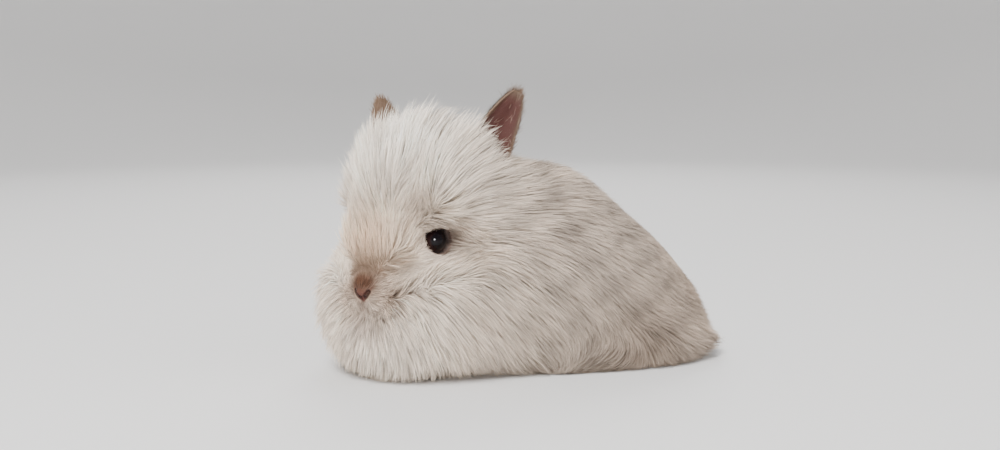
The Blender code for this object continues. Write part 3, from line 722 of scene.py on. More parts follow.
def colour_points(mesh, colours):
    tints = mesh.color_attributes.new("tint", "FLOAT_COLOR", "POINT")
    full = np.ones((len(colours), 4))
    full[:, :3] = colours
    tints.data.foreach_set("color", full.ravel())


def mesh_of(bm, name):
    """Ends a mesh that was being built."""
    mesh = bpy.data.meshes.new(name)
    bm.to_mesh(mesh)
    bm.free()
    return mesh


def rows_of(things, name, width, kind=float):
    """One property of all vertices, corners or triangles, as rows of numbers."""
    flat = np.empty(len(things) * width, kind)
    things.foreach_get(name, flat)
    return flat.reshape(-1, width)


def points_of(mesh):
    return rows_of(mesh.vertices, "co", 3)


def triangle_mesh(name, points, triangles, colours, uvs):
    """A smooth mesh from arrays of points and triangles, with a colour and a UV a point."""
    mesh = bpy.data.meshes.new(name)
    count = len(triangles)
    corners = triangles.ravel().astype(np.int32)
    mesh.vertices.add(len(points))
    mesh.vertices.foreach_set("co", world(points).ravel())
    mesh.loops.add(3 * count)
    mesh.loops.foreach_set("vertex_index", corners)
    mesh.polygons.add(count)
    mesh.polygons.foreach_set("loop_start", np.arange(count, dtype=np.int32) * 3)
    mesh.polygons.foreach_set("use_smooth", np.ones(count, bool))
    uv_layer = mesh.uv_layers.new(name="OFBake")
    uv_layer.data.foreach_set("uv", uvs[corners].ravel())
    mesh.update(calc_edges=True)
    mesh.validate()
    colour_points(mesh, colours)
    return mesh


def mass_matrix(centre, radii, tilt, in_head):
    """Turns a ball of radius 1 into one mass of the body."""
    turn = Matrix.Rotation(math.radians(tilt), 4, "Y")
    shape = Matrix.Translation(Vector(centre)) @ turn @ Matrix.Diagonal((*radii, 1))
    if not in_head:
        return shape
    turned = Matrix(HEAD_AXES.T.tolist()).to_4x4()
    return Matrix.Translation(Vector(HEAD_AT)) @ turned @ shape


def refine(bm, place, reach):
    """Halves the edges near a place of the head, on both sides."""
    for sign in sides_of(place):
        centre = Vector(from_head(mirrored(place, sign)))
        near = {v for v in bm.verts if (v.co - centre).length < reach}
        edges = [e for e in bm.edges if e.verts[0] in near and e.verts[1] in near]
        bmesh.ops.subdivide_edges(bm, edges=edges, cuts=1, use_grid_fill=True)


def voxel_mesh(mesh):
    """One even closed surface around everything in a mesh."""
    obj = placed("skin_masses", mesh)
    step = obj.modifiers.new("fuse", "REMESH")
    step.mode = "VOXEL"
    step.voxel_size = SKIN_VOXEL
    bpy.context.view_layer.update()
    graph = bpy.context.evaluated_depsgraph_get()
    fused = bpy.data.meshes.new_from_object(obj.evaluated_get(graph))
    bpy.data.objects.remove(obj)
    return fused


def fused_masses():
    """The masses of the skin as one even mesh that lies on the blended skin."""
    bm = bmesh.new()
    for masses, in_head in ((HEAD_SKIN, True), (BODY_SKIN + TAIL_SKIN + LEGS, False)):
        for mass in masses:
            matrix = mass_matrix(*mass, in_head)
            bmesh.ops.create_icosphere(bm, subdivisions=4, radius=1, matrix=matrix)
    mesh = mesh_of(bm, "skin_masses")
    for rounds in (8, 6):
        mesh = voxel_mesh(mesh)
        mesh.vertices.foreach_set("co", draw_onto(body, points_of(mesh), rounds).ravel())
    return mesh


def make_skin():
    """One skin for the whole animal, finest at the eyes, the nose and the mouth."""
    fused = fused_masses()
    bm = bmesh.new()
    bm.from_mesh(fused)
    for place, reach in FACE_REFINES:
        refine(bm, place, reach)
    bmesh.ops.triangulate(bm, faces=bm.faces)
    bm.to_mesh(fused)
    bm.free()
    points = points_of(fused)
    away = lengths(points - from_head(SKIN_REFINED_AT))
    on_head = away < SKIN_REFINED_REACH
    points[on_head] = draw_onto(skin, points[on_head], 12, 0.8)
    points[:, 2] = np.maximum(points[:, 2], SKIN_LOWEST)
    fused.vertices.foreach_set("co", world(points).ravel())
    fused.shade_smooth()
    fused.update()
    colour_points(fused, bare_tint(points))
    obj = new_object("skin", fused)
    unwrap(obj)
    fused.materials.append(skin_material())
    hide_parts("head", "neck", "torso", "tail", "foreleg_left", "foreleg_right",
                "hindleg_left", "hindleg_right")
    return obj


def unwrap(obj):
    """Unwraps the skin's own shape for its colours and for those of the coat."""
    obj.data.uv_layers.new(name="OFBake")
    bpy.context.view_layer.objects.active = obj
    obj.select_set(True)
    bpy.ops.object.mode_set(mode="EDIT")
    bpy.ops.mesh.select_all(action="SELECT")
    bpy.ops.uv.smart_project(angle_limit=math.radians(66), island_margin=0.004)
    bpy.ops.object.mode_set(mode="OBJECT")
    obj.select_set(False)


# Materials

def new_material(name, values):
    """A material with its nodes, its links and its shader, whose sockets get the values."""
    material = bpy.data.materials.new(name)
    material.use_nodes = True
    nodes, links = material.node_tree.nodes, material.node_tree.links
    shader = nodes["Principled BSDF"]
    for socket, value in values.items():
        shader.inputs[socket].default_value = value
    return material, nodes, links, shader


def noise_node(nodes, links, scale, detail=3.0):
    """Noise in the object's own space, so many waves a metre."""
    place = nodes.new("ShaderNodeTexCoord")
    noise = nodes.new("ShaderNodeTexNoise")
    noise.inputs["Scale"].default_value = scale
    noise.inputs["Detail"].default_value = detail
    links.new(place.outputs["Object"], noise.inputs["Vector"])
    return noise.outputs["Fac"]


def varied_tint(nodes, links, scale, low, high):
    """The colour attribute made a little darker and lighter by noise."""
    tint_node = nodes.new("ShaderNodeAttribute")
    tint_node.attribute_name = "tint"
    span = nodes.new("ShaderNodeMapRange")
    span.inputs["To Min"].default_value = low
    span.inputs["To Max"].default_value = high
    links.new(noise_node(nodes, links, scale), span.inputs["Value"])
    mix = nodes.new("ShaderNodeVectorMath")
    mix.operation = "SCALE"
    links.new(tint_node.outputs["Color"], mix.inputs[0])
    links.new(span.outputs["Result"], mix.inputs["Scale"])
    return mix.outputs["Vector"]


def add_bump(nodes, links, shader, scale, height):
    """Small bumps in a surface, with their height in millimetres."""
    bump = nodes.new("ShaderNodeBump")
    bump.inputs["Distance"].default_value = height * MM
    links.new(noise_node(nodes, links, scale, 6.0), bump.inputs["Height"])
    links.new(bump.outputs["Normal"], shader.inputs["Normal"])


def skin_material():
    values = {"Roughness": 0.55, "Specular IOR Level": 0.2}
    material, nodes, links, shader = new_material("rabbit_skin", values)
    links.new(varied_tint(nodes, links, 300.0, 0.86, 1.1), shader.inputs["Base Color"])
    add_bump(nodes, links, shader, 1800.0, 0.35)
    return material


def coat_material():
    values = {
        "Roughness": 0.6,
        "Specular IOR Level": 0.12,
        "Sheen Weight": 0.04,
        "Sheen Roughness": 0.5,
    }
    material, nodes, links, shader = new_material("rabbit_coat", values)
    links.new(varied_tint(nodes, links, 160.0, 0.9, 1.08), shader.inputs["Base Color"])
    return material


def eye_material():
    values = {"Roughness": 0.04, "IOR": 1.25}
    material, nodes, links, shader = new_material("rabbit_eye", values)
    ring = nodes.new("ShaderNodeAttribute")
    ring.attribute_name = "ring"
    ramp = nodes.new("ShaderNodeValToRGB")
    stops = (
        (0.0, (0.003, 0.002, 0.003)),
        (0.38, (0.003, 0.002, 0.003)),
        (0.46, (0.012, 0.005, 0.005)),
        (0.62, (0.017, 0.007, 0.006)),
        (0.70, (0.006, 0.003, 0.003)),
        (0.85, (0.020, 0.010, 0.009)),
    )
    for at, colour in stops[2:]:
        ramp.color_ramp.elements.new(at)
    for element, (at, colour) in zip(ramp.color_ramp.elements, stops):
        element.position = at
        element.color = (*colour, 1)
    wave = nodes.new("ShaderNodeMath")
    wave.operation = "MULTIPLY_ADD"
    wave.inputs[1].default_value = 0.05
    links.new(noise_node(nodes, links, 1500.0), wave.inputs[0])
    links.new(ring.outputs["Fac"], wave.inputs[2])
    links.new(wave.outputs["Value"], ramp.inputs["Fac"])
    links.new(ramp.outputs["Color"], shader.inputs["Base Color"])
    return material


def claw_material():
    material, nodes, links, shader = new_material("rabbit_claw", {"Roughness": 0.35})
    ramp = nodes.new("ShaderNodeValToRGB")
    ramp.color_ramp.elements[0].color = (0.16, 0.10, 0.07, 1)
    ramp.color_ramp.elements[1].color = (0.42, 0.31, 0.24, 1)
    links.new(noise_node(nodes, links, 900.0), ramp.inputs["Fac"])
    links.new(ramp.outputs["Color"], shader.inputs["Base Color"])
    return material


# Eyes

def make_eye(name, sign, material):
    """An eyeball with a raised cornea."""
    bm = bmesh.new()
    bmesh.ops.create_uvsphere(bm, u_segments=64, v_segments=48, radius=1)
    mesh = mesh_of(bm, name)
    q = points_of(mesh)
    angle = np.arccos(np.clip(q[:, 2], -1, 1))
    bulge = CORNEA_BULGE * np.clip(1 - (angle / CORNEA_ANGLE) ** 2, 0, 1) ** 1.5
    q = q * (EYE_RADIUS - EYE_INSET + bulge)[:, None]
    out, _, up = eye_axes(sign)
    side = np.cross(up, out)
    points = q[:, :1] * side + q[:, 1:2] * up + q[:, 2:] * out + eye_centre(sign)
    mesh.vertices.foreach_set("co", world(points).ravel())
    mesh.update()
    mesh.shade_smooth()
    ring = mesh.attributes.new("ring", "FLOAT", "POINT")
    ring.data.foreach_set("value", angle / (math.pi / 2))
    mesh.materials.append(material)
    obj = new_object(name, mesh)
    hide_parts(name.replace("ball_", ""))
    return obj


# Ears

def ear_line(side):
    """Base and tip of an ear, and the way its cup opens."""
    sign = dict(SIDES)[side]
    base = from_head(mirrored(EAR_BASE, sign))
    tip = from_head(mirrored(EAR_TIPS[side], sign))
    return base, tip, mirrored(EAR_OPENINGS[side], sign) @ HEAD_AXES


def ear_point(side, u, v):
    """Points of the ear's cup: u runs round it from -1 to 1, v from base to tip."""
    base, tip, opening = ear_line(side)
    axis = unit(tip - base)
    opening = unit(opening - (opening @ axis) * axis)
    across = np.cross(axis, opening)
    fullness = (1 - 0.998 * (np.abs(v - EAR_WIDEST) / (1 - EAR_WIDEST)) ** 1.8) ** 0.62
    half_width = EAR_HALF_WIDTH * fullness
    depth = EAR_CUP_DEPTH * (1 - 0.7 * v) * np.minimum(1.0, 4 * (1.02 - v))
    reach = np.radians(EAR_WRAP - EAR_OPENED * np.minimum(v * 1.6, 1.0))
    angle = u * reach
    ridge = EAR_RIDGE * np.sin(9 * u) * np.sin(math.pi * v)
    centre = base + axis * (v * np.linalg.norm(tip - base))[:, None]
    sideways = across * (half_width * np.sin(angle))[:, None]
    return centre + sideways - opening * (depth * (np.cos(angle) - 0.4) + ridge)[:, None]


def ear_frame(side, u, v):
    """Points of the ear and the normals out of its back."""
    e = EAR_STEP
    p = ear_point(side, u, v)
    toward_tip = unit(ear_point(side, u, np.minimum(v + e, 1)) - ear_point(side, u, v - e))
    round_it = unit(ear_point(side, u + e, v) - ear_point(side, u - e, v))
    return p, unit(np.cross(toward_tip, round_it))


def make_ear(side, material):
    """The cup of one ear: an outer and an inner surface that meet at a thin rim."""
    us = np.linspace(-1, 1, EAR_ROUND)
    vs = np.linspace(*EAR_ENDS, EAR_LONG)
    u, v = [grid.ravel() for grid in np.meshgrid(us, vs)]
    p, normal = ear_frame(side, u, v)
    edge = np.minimum(1 - np.abs(u), (EAR_ENDS[1] - v) * 4)
    wall = EAR_RIM + (EAR_WALL - EAR_RIM) * np.clip(edge / 0.3, 0, 1) ** 0.5
    points = np.vstack([p + normal * wall[:, None] / 2, p - normal * wall[:, None] / 2])
    mesh = bpy.data.meshes.new("ear_cup_" + side)
    mesh.from_pydata([tuple(c) for c in world(points)], [], ear_faces(len(u)))
    bm = bmesh.new()
    bm.from_mesh(mesh)
    bmesh.ops.recalc_face_normals(bm, faces=bm.faces)
    bm.to_mesh(mesh)
    bm.free()
    mesh.shade_smooth()
    rim = np.exp(-(edge / 0.26) ** 2)[:, None]
    inside = mixed(EAR_PINK, 0.55 * np.array(EAR_BROWN), rim)
    outside = np.tile(EAR_BROWN, (len(u), 1))
    colour_points(mesh, np.vstack([outside, inside]))
    mesh.materials.append(material)
    obj = new_object("ear_cup_" + side, mesh)
    unwrap(obj)
    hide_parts("ear_" + side)
    return obj


def ear_faces(count):
    """Faces of the outer and the inner surface of an ear, and of the rim between them."""
    faces = []
    for j in range(EAR_LONG - 1):
        for i in range(EAR_ROUND - 1):
            a = j * EAR_ROUND + i
            quad = (a, a + 1, a + 1 + EAR_ROUND, a + EAR_ROUND)
            faces.append(quad)
            faces.append(tuple(k + count for k in reversed(quad)))
    border = list(range(EAR_ROUND))
    border += [j * EAR_ROUND + EAR_ROUND - 1 for j in range(1, EAR_LONG)]
    border += [(EAR_LONG - 1) * EAR_ROUND + i for i in range(EAR_ROUND - 2, -1, -1)]
    border += [j * EAR_ROUND for j in range(EAR_LONG - 2, 0, -1)]
    for a, b in zip(border, border[1:] + border[:1]):
        faces.append((b, a, a + count, b + count))
    return faces


# Strands

def strands(name, paths, normals, widths, colours, uvs, material):
    """Joined flat strands. Each narrows to a point and bends along its path."""
    count, stations = paths.shape[:2]
    along = unit(np.gradient(paths, axis=1))
    across = unit(np.cross(normals, along))
    profile = np.interp(np.linspace(0, 1, stations)[:-1], np.linspace(0, 0.8, 4), STRAND_PROFILE)
    half = across[:, :-1] * (widths[:, None] * profile[None] / 2)[..., None]
    pairs = np.stack([paths[:, :-1] - half, paths[:, :-1] + half], 2)
    each = 2 * (stations - 1) + 1
    points = np.concatenate([pairs.reshape(count, -1, 3), paths[:, -1:]], 1)
    faces = []
    for k in range(stations - 2):
        a = 2 * k
        faces += [(a, a + 1, a + 3), (a, a + 3, a + 2)]
    faces.append((each - 3, each - 2, each - 1))
    triangles = (np.arange(count) * each)[:, None, None] + np.array(faces)[None]
    s = np.repeat(np.linspace(0, 1, stations), 2)[:each]
    lateral = np.array([-0.5, 0.5] * (stations - 1) + [0.0])
    own = uvs[:, None] + PATCH * np.stack([lateral, s - 0.5], 1)[None]
    station = np.repeat(np.arange(stations), 2)[:each]
    shade = colours[:, station] * np.interp(s, (0, 0.35, 1), STRAND_TONES)[None, :, None]
    mesh = triangle_mesh(name, points.reshape(-1, 3), triangles.reshape(-1, 3),
                         shade.reshape(-1, 3), np.clip(own.reshape(-1, 2), 0, 1))
    mesh.materials.append(material)
    return new_object(name, mesh)


class Surface:
    """Triangles of the skin from which hair is drawn, with their places on its unwrap."""

    def __init__(self, obj):
        mesh = obj.data
        mesh.calc_loop_triangles()
        loops = rows_of(mesh.loop_triangles, "loops", 3, np.int32)
        self.triangles = rows_of(mesh.loop_triangles, "vertices", 3, np.int32)
        self.points = points_of(mesh) / MM - SHIFT
        self.corners = self.points[self.triangles]
        self.uv = rows_of(mesh.uv_layers["OFBake"].data, "uv", 2)[loops]
        sides = self.corners[:, 1:] - self.corners[:, :1]
        cross = np.cross(sides[:, 0], sides[:, 1])
        self.area = lengths(cross) / 2
        self.normal = unit(cross)
        self.middle = self.corners.mean(1)

    def scatter(self, density, rng):
        """Random places with their UVs, so many a square millimetre of each triangle."""
        expected = self.area * density
        number = np.floor(expected + rng.random(len(expected))).astype(int)
        face = np.repeat(np.arange(len(number)), number)
        a, b = rng.random(len(face)), rng.random(len(face))
        over = a + b > 1
        a[over], b[over] = 1 - a[over], 1 - b[over]
        weights = np.stack([1 - a - b, a, b], 1)[..., None]
        return (self.corners[face] * weights).sum(1), (self.uv[face] * weights).sum(1), face

    def widening(self, level):
        """How much wider each triangle is where the coat reaches a level above it."""
        raised = draw_onto(lambda p: layer(p, level), self.points, 4)[self.triangles]
        sides = raised[:, 1:] - raised[:, :1]
        area = lengths(np.cross(sides[:, 0], sides[:, 1])) / 2
        return np.clip(area / (self.area + 1e-6), 1.0, MOST_SPREAD)


def coat_depth(p):
    """Depth of the coat over places on the skin."""
    return np.maximum(-tips(p), LEAST_COAT)


def hair_length(depth):
    return np.clip(1.35 * depth + 2.5, *HAIR_LENGTHS)


def strand_width(length):
    return np.clip(0.13 + 0.009 * length, *HAIR_WIDTHS)


def nose_pad(q):
    """1 on the small bare triangle between the nostrils, 0 away from it."""
    beside = (np.abs(q[:, 1]) - NOSE_SLANT * (q[:, 2] - NOSE_FOOT)) / 0.7
    above = (q[:, 2] - NOSE_TOP) / 4.0
    outside = np.maximum(np.maximum(beside, above), LIPS_FROM - q[:, 0])
    return np.clip(1 - outside, 0, 1)


def bareness(p):
    """1 where the skin is naked: in the eyes, on the nose and between the lips."""
    q = to_head(p)
    bare = nose_pad(q)
    mouth = mouth_line(q, 0.5) * (q[:, 0] > LIPS_FROM)
    bare = np.maximum(np.maximum(bare, 0.7 * mouth), cleft_line(q, 0.45))
    for _, sign in SIDES:
        reach = lengths(p - eye_centre(sign))
        bare = np.maximum(bare, np.clip(EYE_BARE - reach, 0, 1))
        edge = NOSTRIL_RADIUS + NOSTRIL_BARE - off_nostril(q, sign)
        bare = np.maximum(bare, np.clip(edge, 0, 1))
    return bare


def comb(roots, length, sway, lift):
    """Paths of guide hairs, which leave the skin and rise to the tips of the coat."""
    normal = unit(slope(tips, roots))
    p = draw_onto(lambda q: layer(q, ROOT_DEPTH), roots, 2)
    stations, normals = [p], [normal]
    for k in range(1, STATIONS):
        s = k / (STATIONS - 1)
        way = turned(lie(p), normal, sway * math.cos(2.0 * s))
        tangent = unit(way - np.sum(way * normal, 1)[:, None] * normal)
        p = p + (length / (STATIONS - 1))[:, None] * unit(tangent + RISE * normal)
        depth = ROOT_DEPTH + (lift - ROOT_DEPTH) * s ** 0.75
        p = draw_onto(lambda q: layer(q, depth), p, 3)
        p[:, 2] = np.maximum(p[:, 2], 0.4)
        normal = unit(slope(tips, p))
        stations.append(p)
        normals.append(normal)
    return np.stack(stations, 1), np.stack(normals, 1)


def sum_waves(p, waves):
    """Sum of plane waves at places: for each its run, its start and its size."""
    total = np.zeros(len(p))
    for run, start, size in waves:
        total += size * np.sin(p @ np.array(run) + start)
    return total


def lock_tone_and_shade(roots):
    """Lightness of the lock that a strand belongs to, most varied on the body: partly its own tone
    and partly painted shade between overlapping locks.
    """
    on_body = np.clip((roots[:, 0] + 45) / 40, 0, 1)
    return 1 + (0.45 + 0.75 * on_body) * sum_waves(roots, LOCK_WAVES)


def on_whisker_pad(p):
    """1 in the middle of the whisker pads, where the hair is speckled, and 0 away from them."""
    q = to_head(p)
    q[:, 1] = np.abs(q[:, 1])
    return spot(q, WHISKER_PAD, WHISKER_PAD_REACH)


def turned(way, axis, angle):
    """Vectors turned about unit axes."""
    c, s = np.cos(angle)[:, None], np.sin(angle)[:, None]
    return way * c + np.cross(axis, way) * s + axis * np.sum(axis * way, 1)[:, None] * (1 - c)


def nearest_guides(guides, roots, count=3):
    """Indices of the guides nearest to each root, and their distances."""
    tree = KDTree(len(guides))
    for i, guide in enumerate(guides):
        tree.insert(guide, i)
    tree.balance()
    found = [tree.find_n(root, count) for root in roots]
    index = np.array([[hit[1] for hit in row] for row in found])
    reach = np.array([[hit[2] for hit in row] for row in found])
    return index, reach


def region_of(p):
    """Name of the coat piece that each root belongs to."""
    x, y, z = p.T
    q = to_head(p)
    forward, left, up = q.T
    head = (ellipsoid(q, HEAD_REGION) < 0) & (x < -20)
    regions = (
        ("coat_flank_right", y > 0),
        ("coat_back", (z > 62) & (np.abs(y) < 26)),
        ("coat_haunch_left", (x > 38) & (y <= 0)),
        ("coat_haunch_right", (x > 38) & (y > 0)),
        ("coat_tail", (x > 70) & (z < 30) & (np.abs(y) < 12)),
        ("coat_head_left", head & (left >= 0)),
        ("coat_head_right", head & (left < 0)),
        ("coat_crown", head & (up > 12)),
        ("coat_face", head & (forward > 8) & (up <= 12)),
    )
    names = np.full(len(p), "coat_flank_left", dtype=object)
    for name, where in regions:
        names[where] = name
    return names


def grow_guides(surface, density, rng):
    """Roots, paths and normals of the guide hairs, one for each tuft."""
    guides, _, _ = surface.scatter(density / TUFT, rng)
    length = hair_length(coat_depth(guides))
    sway = np.radians(rng.normal(0, SWAY, len(guides))) + sum_waves(guides, RUFFLE_WAVES)
    lift = rng.uniform(*TIP_DEPTHS, len(guides))
    return guides, *comb(guides, length, sway, lift)


def follow_guides(roots, guides, paths, normals):
    """Paths and normals of strands between their guides, and the path of the nearest one."""
    index, reach = nearest_guides(guides, roots)
    weight = 1 / (reach + 0.3)
    weight /= weight.sum(1, keepdims=True)
    drift = (paths[index] - guides[index][:, :, None]) * weight[..., None, None]
    normal = (normals[index] * weight[..., None, None]).sum(1)
    return roots[:, None] + drift.sum(1), normal, paths[index[:, 0]]


def ruffle(own, nearest, size, rng):
    """Gives each strand a length, a place in its tuft, a stray end and a wave of its own."""
    count = len(own)
    s = np.linspace(0, 1, STATIONS)[None, :, None]
    factor = np.clip(rng.normal(*LENGTH_CHANGE, count), *LENGTH_LIMITS)[:, None, None]
    own = own[:, :1] + (own - own[:, :1]) * factor
    clump = rng.uniform(*CLUMP, count)[:, None, None] * s ** 1.4
    own = own + clump * (nearest - own)
    stray = np.where(rng.random(count) < STRAY_SHARE, STRAY, 1.0)[:, None, None]
    own = own + 0.05 * size * stray * s ** 1.8 * unit(rng.normal(size=(count, 1, 3)))
    phase = rng.uniform(0, 6.3, (count, 1, 1))
    wave = 0.02 * size * np.sin(5.0 * s + phase) * s
    own = own + wave * unit(rng.normal(size=(count, 1, 3)))
    own[..., 2] = np.maximum(own[..., 2], HAIR_LOWEST)
    return own


def roll_faces(own, face, rng):
    """Turns the flat side of each strand a little about its run."""
    roll = rng.normal(0, ROLL, len(own))
    along = unit(np.gradient(own, axis=1))
    face = unit(face)
    return np.stack([turned(face[:, k], along[:, k], roll) for k in range(STATIONS)], 1)


def make_coat(surface, material):
    """The whole coat, grown in one go and then parted into pieces by region."""
    rng = np.random.default_rng(SEED)
    length = hair_length(coat_depth(surface.middle))
    density = COVERAGE / (length * strand_width(length))
    density *= (1 - bareness(surface.middle)) * (surface.middle[:, 2] > 0.5)
    density *= surface.widening(SPREAD_DEPTH)
    roots, uvs, _ = surface.scatter(density, rng)
    guides, paths, normals = grow_guides(surface, density, rng)
    own, face, nearest = follow_guides(roots, guides, paths, normals)
    size = hair_length(coat_depth(roots))
    own = ruffle(own, nearest, size[:, None, None], rng)
    face = roll_faces(own, face, rng)
    widths = strand_width(size) * rng.uniform(*WIDTH_CHANGE, len(roots))
    change = TONE_CHANGE + PAD_TONE_CHANGE * on_whisker_pad(roots)
    shade = np.maximum(1 + rng.normal(0, 1, len(roots)) * change, 0.15)
    shade = (shade * lock_tone_and_shade(roots))[:, None, None]
    colours = np.clip(tint(own.reshape(-1, 3)).reshape(own.shape) * shade, 0, 1)
    names = region_of(roots)
    for name in sorted(set(names)):
        members = np.flatnonzero(names == name)
        members = members[np.argsort(roots[members, 0])]
        pieces = math.ceil(len(members) * TRIANGLES_EACH / PIECE_LIMIT)
        for number, pick in enumerate(np.array_split(members, pieces)):
            strands(name + "_" + str(number + 1), own[pick], face[pick], widths[pick],
                    colours[pick], uvs[pick], material)


def make_ear_fur(side, ear, material):
    """Short fur on the back and the rim of an ear, and a few fine hairs inside it."""
    rng = np.random.default_rng(SEED + 2 + dict(SIDES)[side])
    surface = Surface(ear)
    base, tip, opening = ear_line(side)
    axis = unit(tip - base)
    inside = (surface.normal @ opening) > 0.1
    density = np.where(inside, *EAR_HAIRS)
    roots, uvs, face = surface.scatter(density, rng)
    normal = surface.normal[face]
    tangent = unit(axis - (normal @ axis)[:, None] * normal)
    tangent = unit(tangent + 0.25 * rng.normal(size=tangent.shape))
    within = inside[face]
    length = np.where(within, *EAR_HAIR_LENGTHS) * rng.uniform(0.5, 1.3, len(roots))
    rise = np.where(within, *EAR_HAIR_RISES) * rng.uniform(0.6, 1.4, len(roots))
    s = np.linspace(0, 1, STATIONS)[None, :, None]
    bend = rise[:, None, None] * s * (1 - 0.45 * s) * normal[:, None] + s * tangent[:, None]
    paths = roots[:, None] + length[:, None, None] * bend
    widths = np.where(within, *EAR_HAIR_WIDTHS) * rng.uniform(0.7, 1.2, len(roots))
    colour = np.where(within[:, None], EAR_DOWN, EAR_BROWN)
    toward_base = np.clip(1 - (roots - base) @ axis / 34.0, 0, 1)[:, None]
    colour = mixed(colour, CREAM, 0.7 * toward_base)
    shade = rng.normal(1.0, 0.1, len(roots))[:, None]
    faces = np.repeat(normal[:, None], STATIONS, 1)
    colour = np.repeat(np.clip(colour * shade, 0, 1)[:, None], STATIONS, 1)
    strands("coat_ear_" + side, paths, faces, widths, colour, uvs, material)


def claw_ring(bm, root, size, s, sign):
    """One ring of points round a claw, at a share s of its length."""
    centre = root + size * s * np.array([-1.0, 0.0, 0.12 - 0.45 * s])
    radius = size * 0.20 * (1 - s) ** 0.8 + 0.02
    angles = np.linspace(0, 2 * math.pi, CLAW_ROUND, endpoint=False)
    ring = [centre + radius * np.array([0.0, math.cos(a), 1.2 * math.sin(a)]) for a in angles]
    ring = world(np.array([[x, sign * y, z] for x, y, z in ring]))
    return [bm.verts.new(tuple(co)) for co in ring]


def add_claw(bm, root, size, sign):
    shares = np.linspace(0, 1, CLAW_STEPS + 1)
    rings = [claw_ring(bm, root, size, s, sign) for s in shares]
    for near, far in zip(rings, rings[1:]):
        for k in range(CLAW_ROUND):
            bm.faces.new((near[k], near[k - 1], far[k - 1], far[k]))
    bm.faces.new(rings[0])
    bm.faces.new(rings[-1][::-1])


def make_claws(material):
    """Small curved claws at the front ends of the feet."""
    bm = bmesh.new()
    for place, toes, room, size in CLAWED_FEET:
        for _, sign in SIDES:
            for toe in range(toes):
                across = (toe - (toes - 1) / 2) * room
                root = np.array(place) + (0.25 * across ** 2 / room, across, 0.0)
                add_claw(bm, root, size, sign)
    bmesh.ops.recalc_face_normals(bm, faces=bm.faces)
    mesh = mesh_of(bm, "claws")
    mesh.shade_smooth()
    mesh.materials.append(material)
    new_object("claws", mesh)


def make_whiskers(material):
    """Long fine hairs that stand out of the whisker pads."""
    rng = np.random.default_rng(SEED + 9)
    paths, normals = [], []
    for _, sign in SIDES:
        for row in range(3):
            for place in range(4):
                root = (26.0 - 2.2 * place, 7.5 + 0.9 * place, -19.0 - 2.6 * row)
                way = (0.35 - 0.2 * place, 0.9, 0.25 - 0.28 * row)
                way = unit(mirrored(way, sign))
                way = unit(way + 0.08 * rng.normal(size=3))
                length = rng.uniform(*WHISKER_LENGTHS)
                s = np.linspace(0, 1, STATIONS)[:, None]
                path = length * (s * way + s ** 2 * np.array([-0.22, 0, -0.10]))
                paths.append(from_head(mirrored(root, sign) + path))
                normals.append(np.tile(way @ HEAD_AXES, (STATIONS, 1)) + np.array([0.3, 0.2, 1.0]))
    count = len(paths)
    strands("coat_whiskers", np.array(paths), unit(np.array(normals)), np.full(count, WHISKER_WIDTH),
            np.tile(WHISKER, (count, STATIONS, 1)), np.tile([0.5, 0.5], (count, 1)),
            material)


# Stage

def add_floor():
    """A round pale floor that curves up into a wall on every side."""
    profile = [(0.0, 0.0), (FLOOR_RADIUS, 0.0)]
    for step in range(1, FLOOR_CURVE_STEPS + 1):
        angle = math.pi / 2 * step / FLOOR_CURVE_STEPS
        out = FLOOR_RADIUS + FLOOR_CURVE * math.sin(angle)
        profile.append((out, FLOOR_CURVE * (1 - math.cos(angle))))
    profile.append((FLOOR_RADIUS + FLOOR_CURVE, WALL_HEIGHT))
    bm = bmesh.new()
    ring = [bm.verts.new((x, 0, z)) for x, z in profile]
    edges = [bm.edges.new(pair) for pair in zip(ring, ring[1:])]
    bmesh.ops.spin(bm, geom=ring + edges, cent=(0, 0, 0), axis=(0, 0, 1),
                   angle=2 * math.pi, steps=FLOOR_ROUND, use_merge=True)
    bmesh.ops.remove_doubles(bm, verts=bm.verts, dist=0.0001)
    bmesh.ops.recalc_face_normals(bm, faces=bm.faces)
    mesh = mesh_of(bm, "floor")
    mesh.shade_smooth()
    floor = placed("floor", mesh)
    values = {"Base Color": (0.80, 0.79, 0.78, 1), "Roughness": 0.7}
    mesh.materials.append(new_material("floor", values)[0])


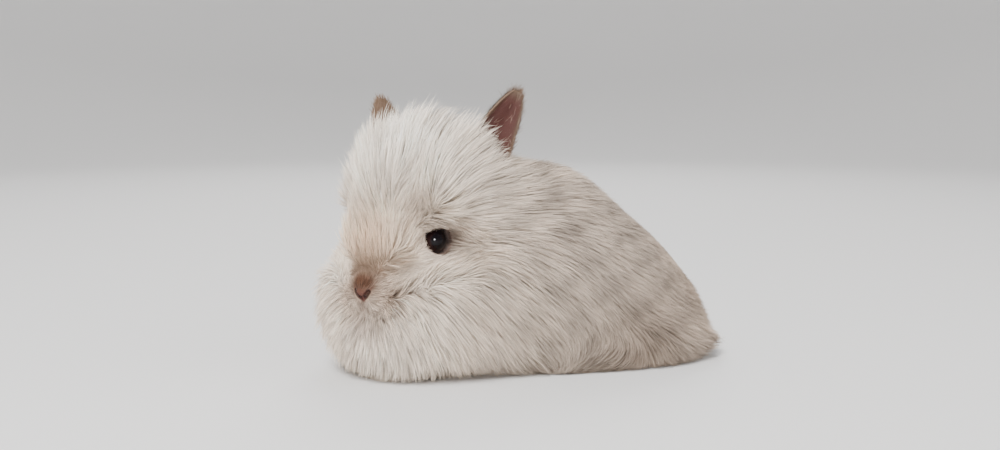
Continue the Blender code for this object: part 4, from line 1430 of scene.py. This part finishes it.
def add_world():
    world_ = bpy.data.worlds.new("studio")
    world_.use_nodes = True
    shade = world_.node_tree.nodes["Background"]
    shade.inputs["Color"].default_value = (0.86, 0.87, 0.90, 1)
    shade.inputs["Strength"].default_value = 0.4
    bpy.context.scene.world = world_


def add_light(name, place, target, size, power, glossy):
    """A square lamp that lights surfaces, or that only shows as a glint on them."""
    light = bpy.data.lights.new(name, "AREA")
    light.shape = "SQUARE"
    light.size = size
    light.energy = power
    obj = placed(name, light)
    obj.location = place
    obj.visible_glossy = glossy
    obj.visible_diffuse = not glossy
    aim = Vector(target) - Vector(place)
    obj.rotation_euler = aim.to_track_quat("-Z", "Y").to_euler()


def add_camera():
    """The photo's camera, which sees the head's centre at its pixel."""
    a, e = CAMERA_AZIMUTH, CAMERA_ELEVATION
    back = np.array([math.sin(a) * math.cos(e), -math.cos(a) * math.cos(e), math.sin(e)])
    right = np.array([math.cos(a), math.sin(a), 0.0])
    up = np.cross(back, right)
    focal = PHOTO_SIZE[0] * LENS / SENSOR
    aside = (HEAD_PIXEL[0] - PHOTO_SIZE[0] / 2) * CAMERA_DISTANCE / focal
    above = (PHOTO_SIZE[1] / 2 - HEAD_PIXEL[1]) * CAMERA_DISTANCE / focal
    place = HEAD_AT + CAMERA_DISTANCE * back - aside * right - above * up
    camera = bpy.data.cameras.new("camera")
    camera.lens = LENS
    camera.sensor_width = SENSOR
    camera.clip_start = 0.01
    obj = placed("camera", camera)
    rows = np.eye(4)
    rows[:3] = np.stack([right, up, back, world(place)], 1)
    obj.matrix_world = Matrix(rows.tolist())
    bpy.context.scene.camera = obj


def main():
    add_camera()
    add_floor()
    add_world()
    for light in LIGHTS:
        add_light(*light)
    hair = coat_material()
    body_skin = make_skin()
    ball = eye_material()
    for side, sign in SIDES:
        make_eye("ball_eye_" + side, sign, ball)
        ear = make_ear(side, body_skin.data.materials[0])
        make_ear_fur(side, ear, hair)
    make_coat(Surface(body_skin), hair)
    make_whiskers(hair)
    make_claws(claw_material())


main()
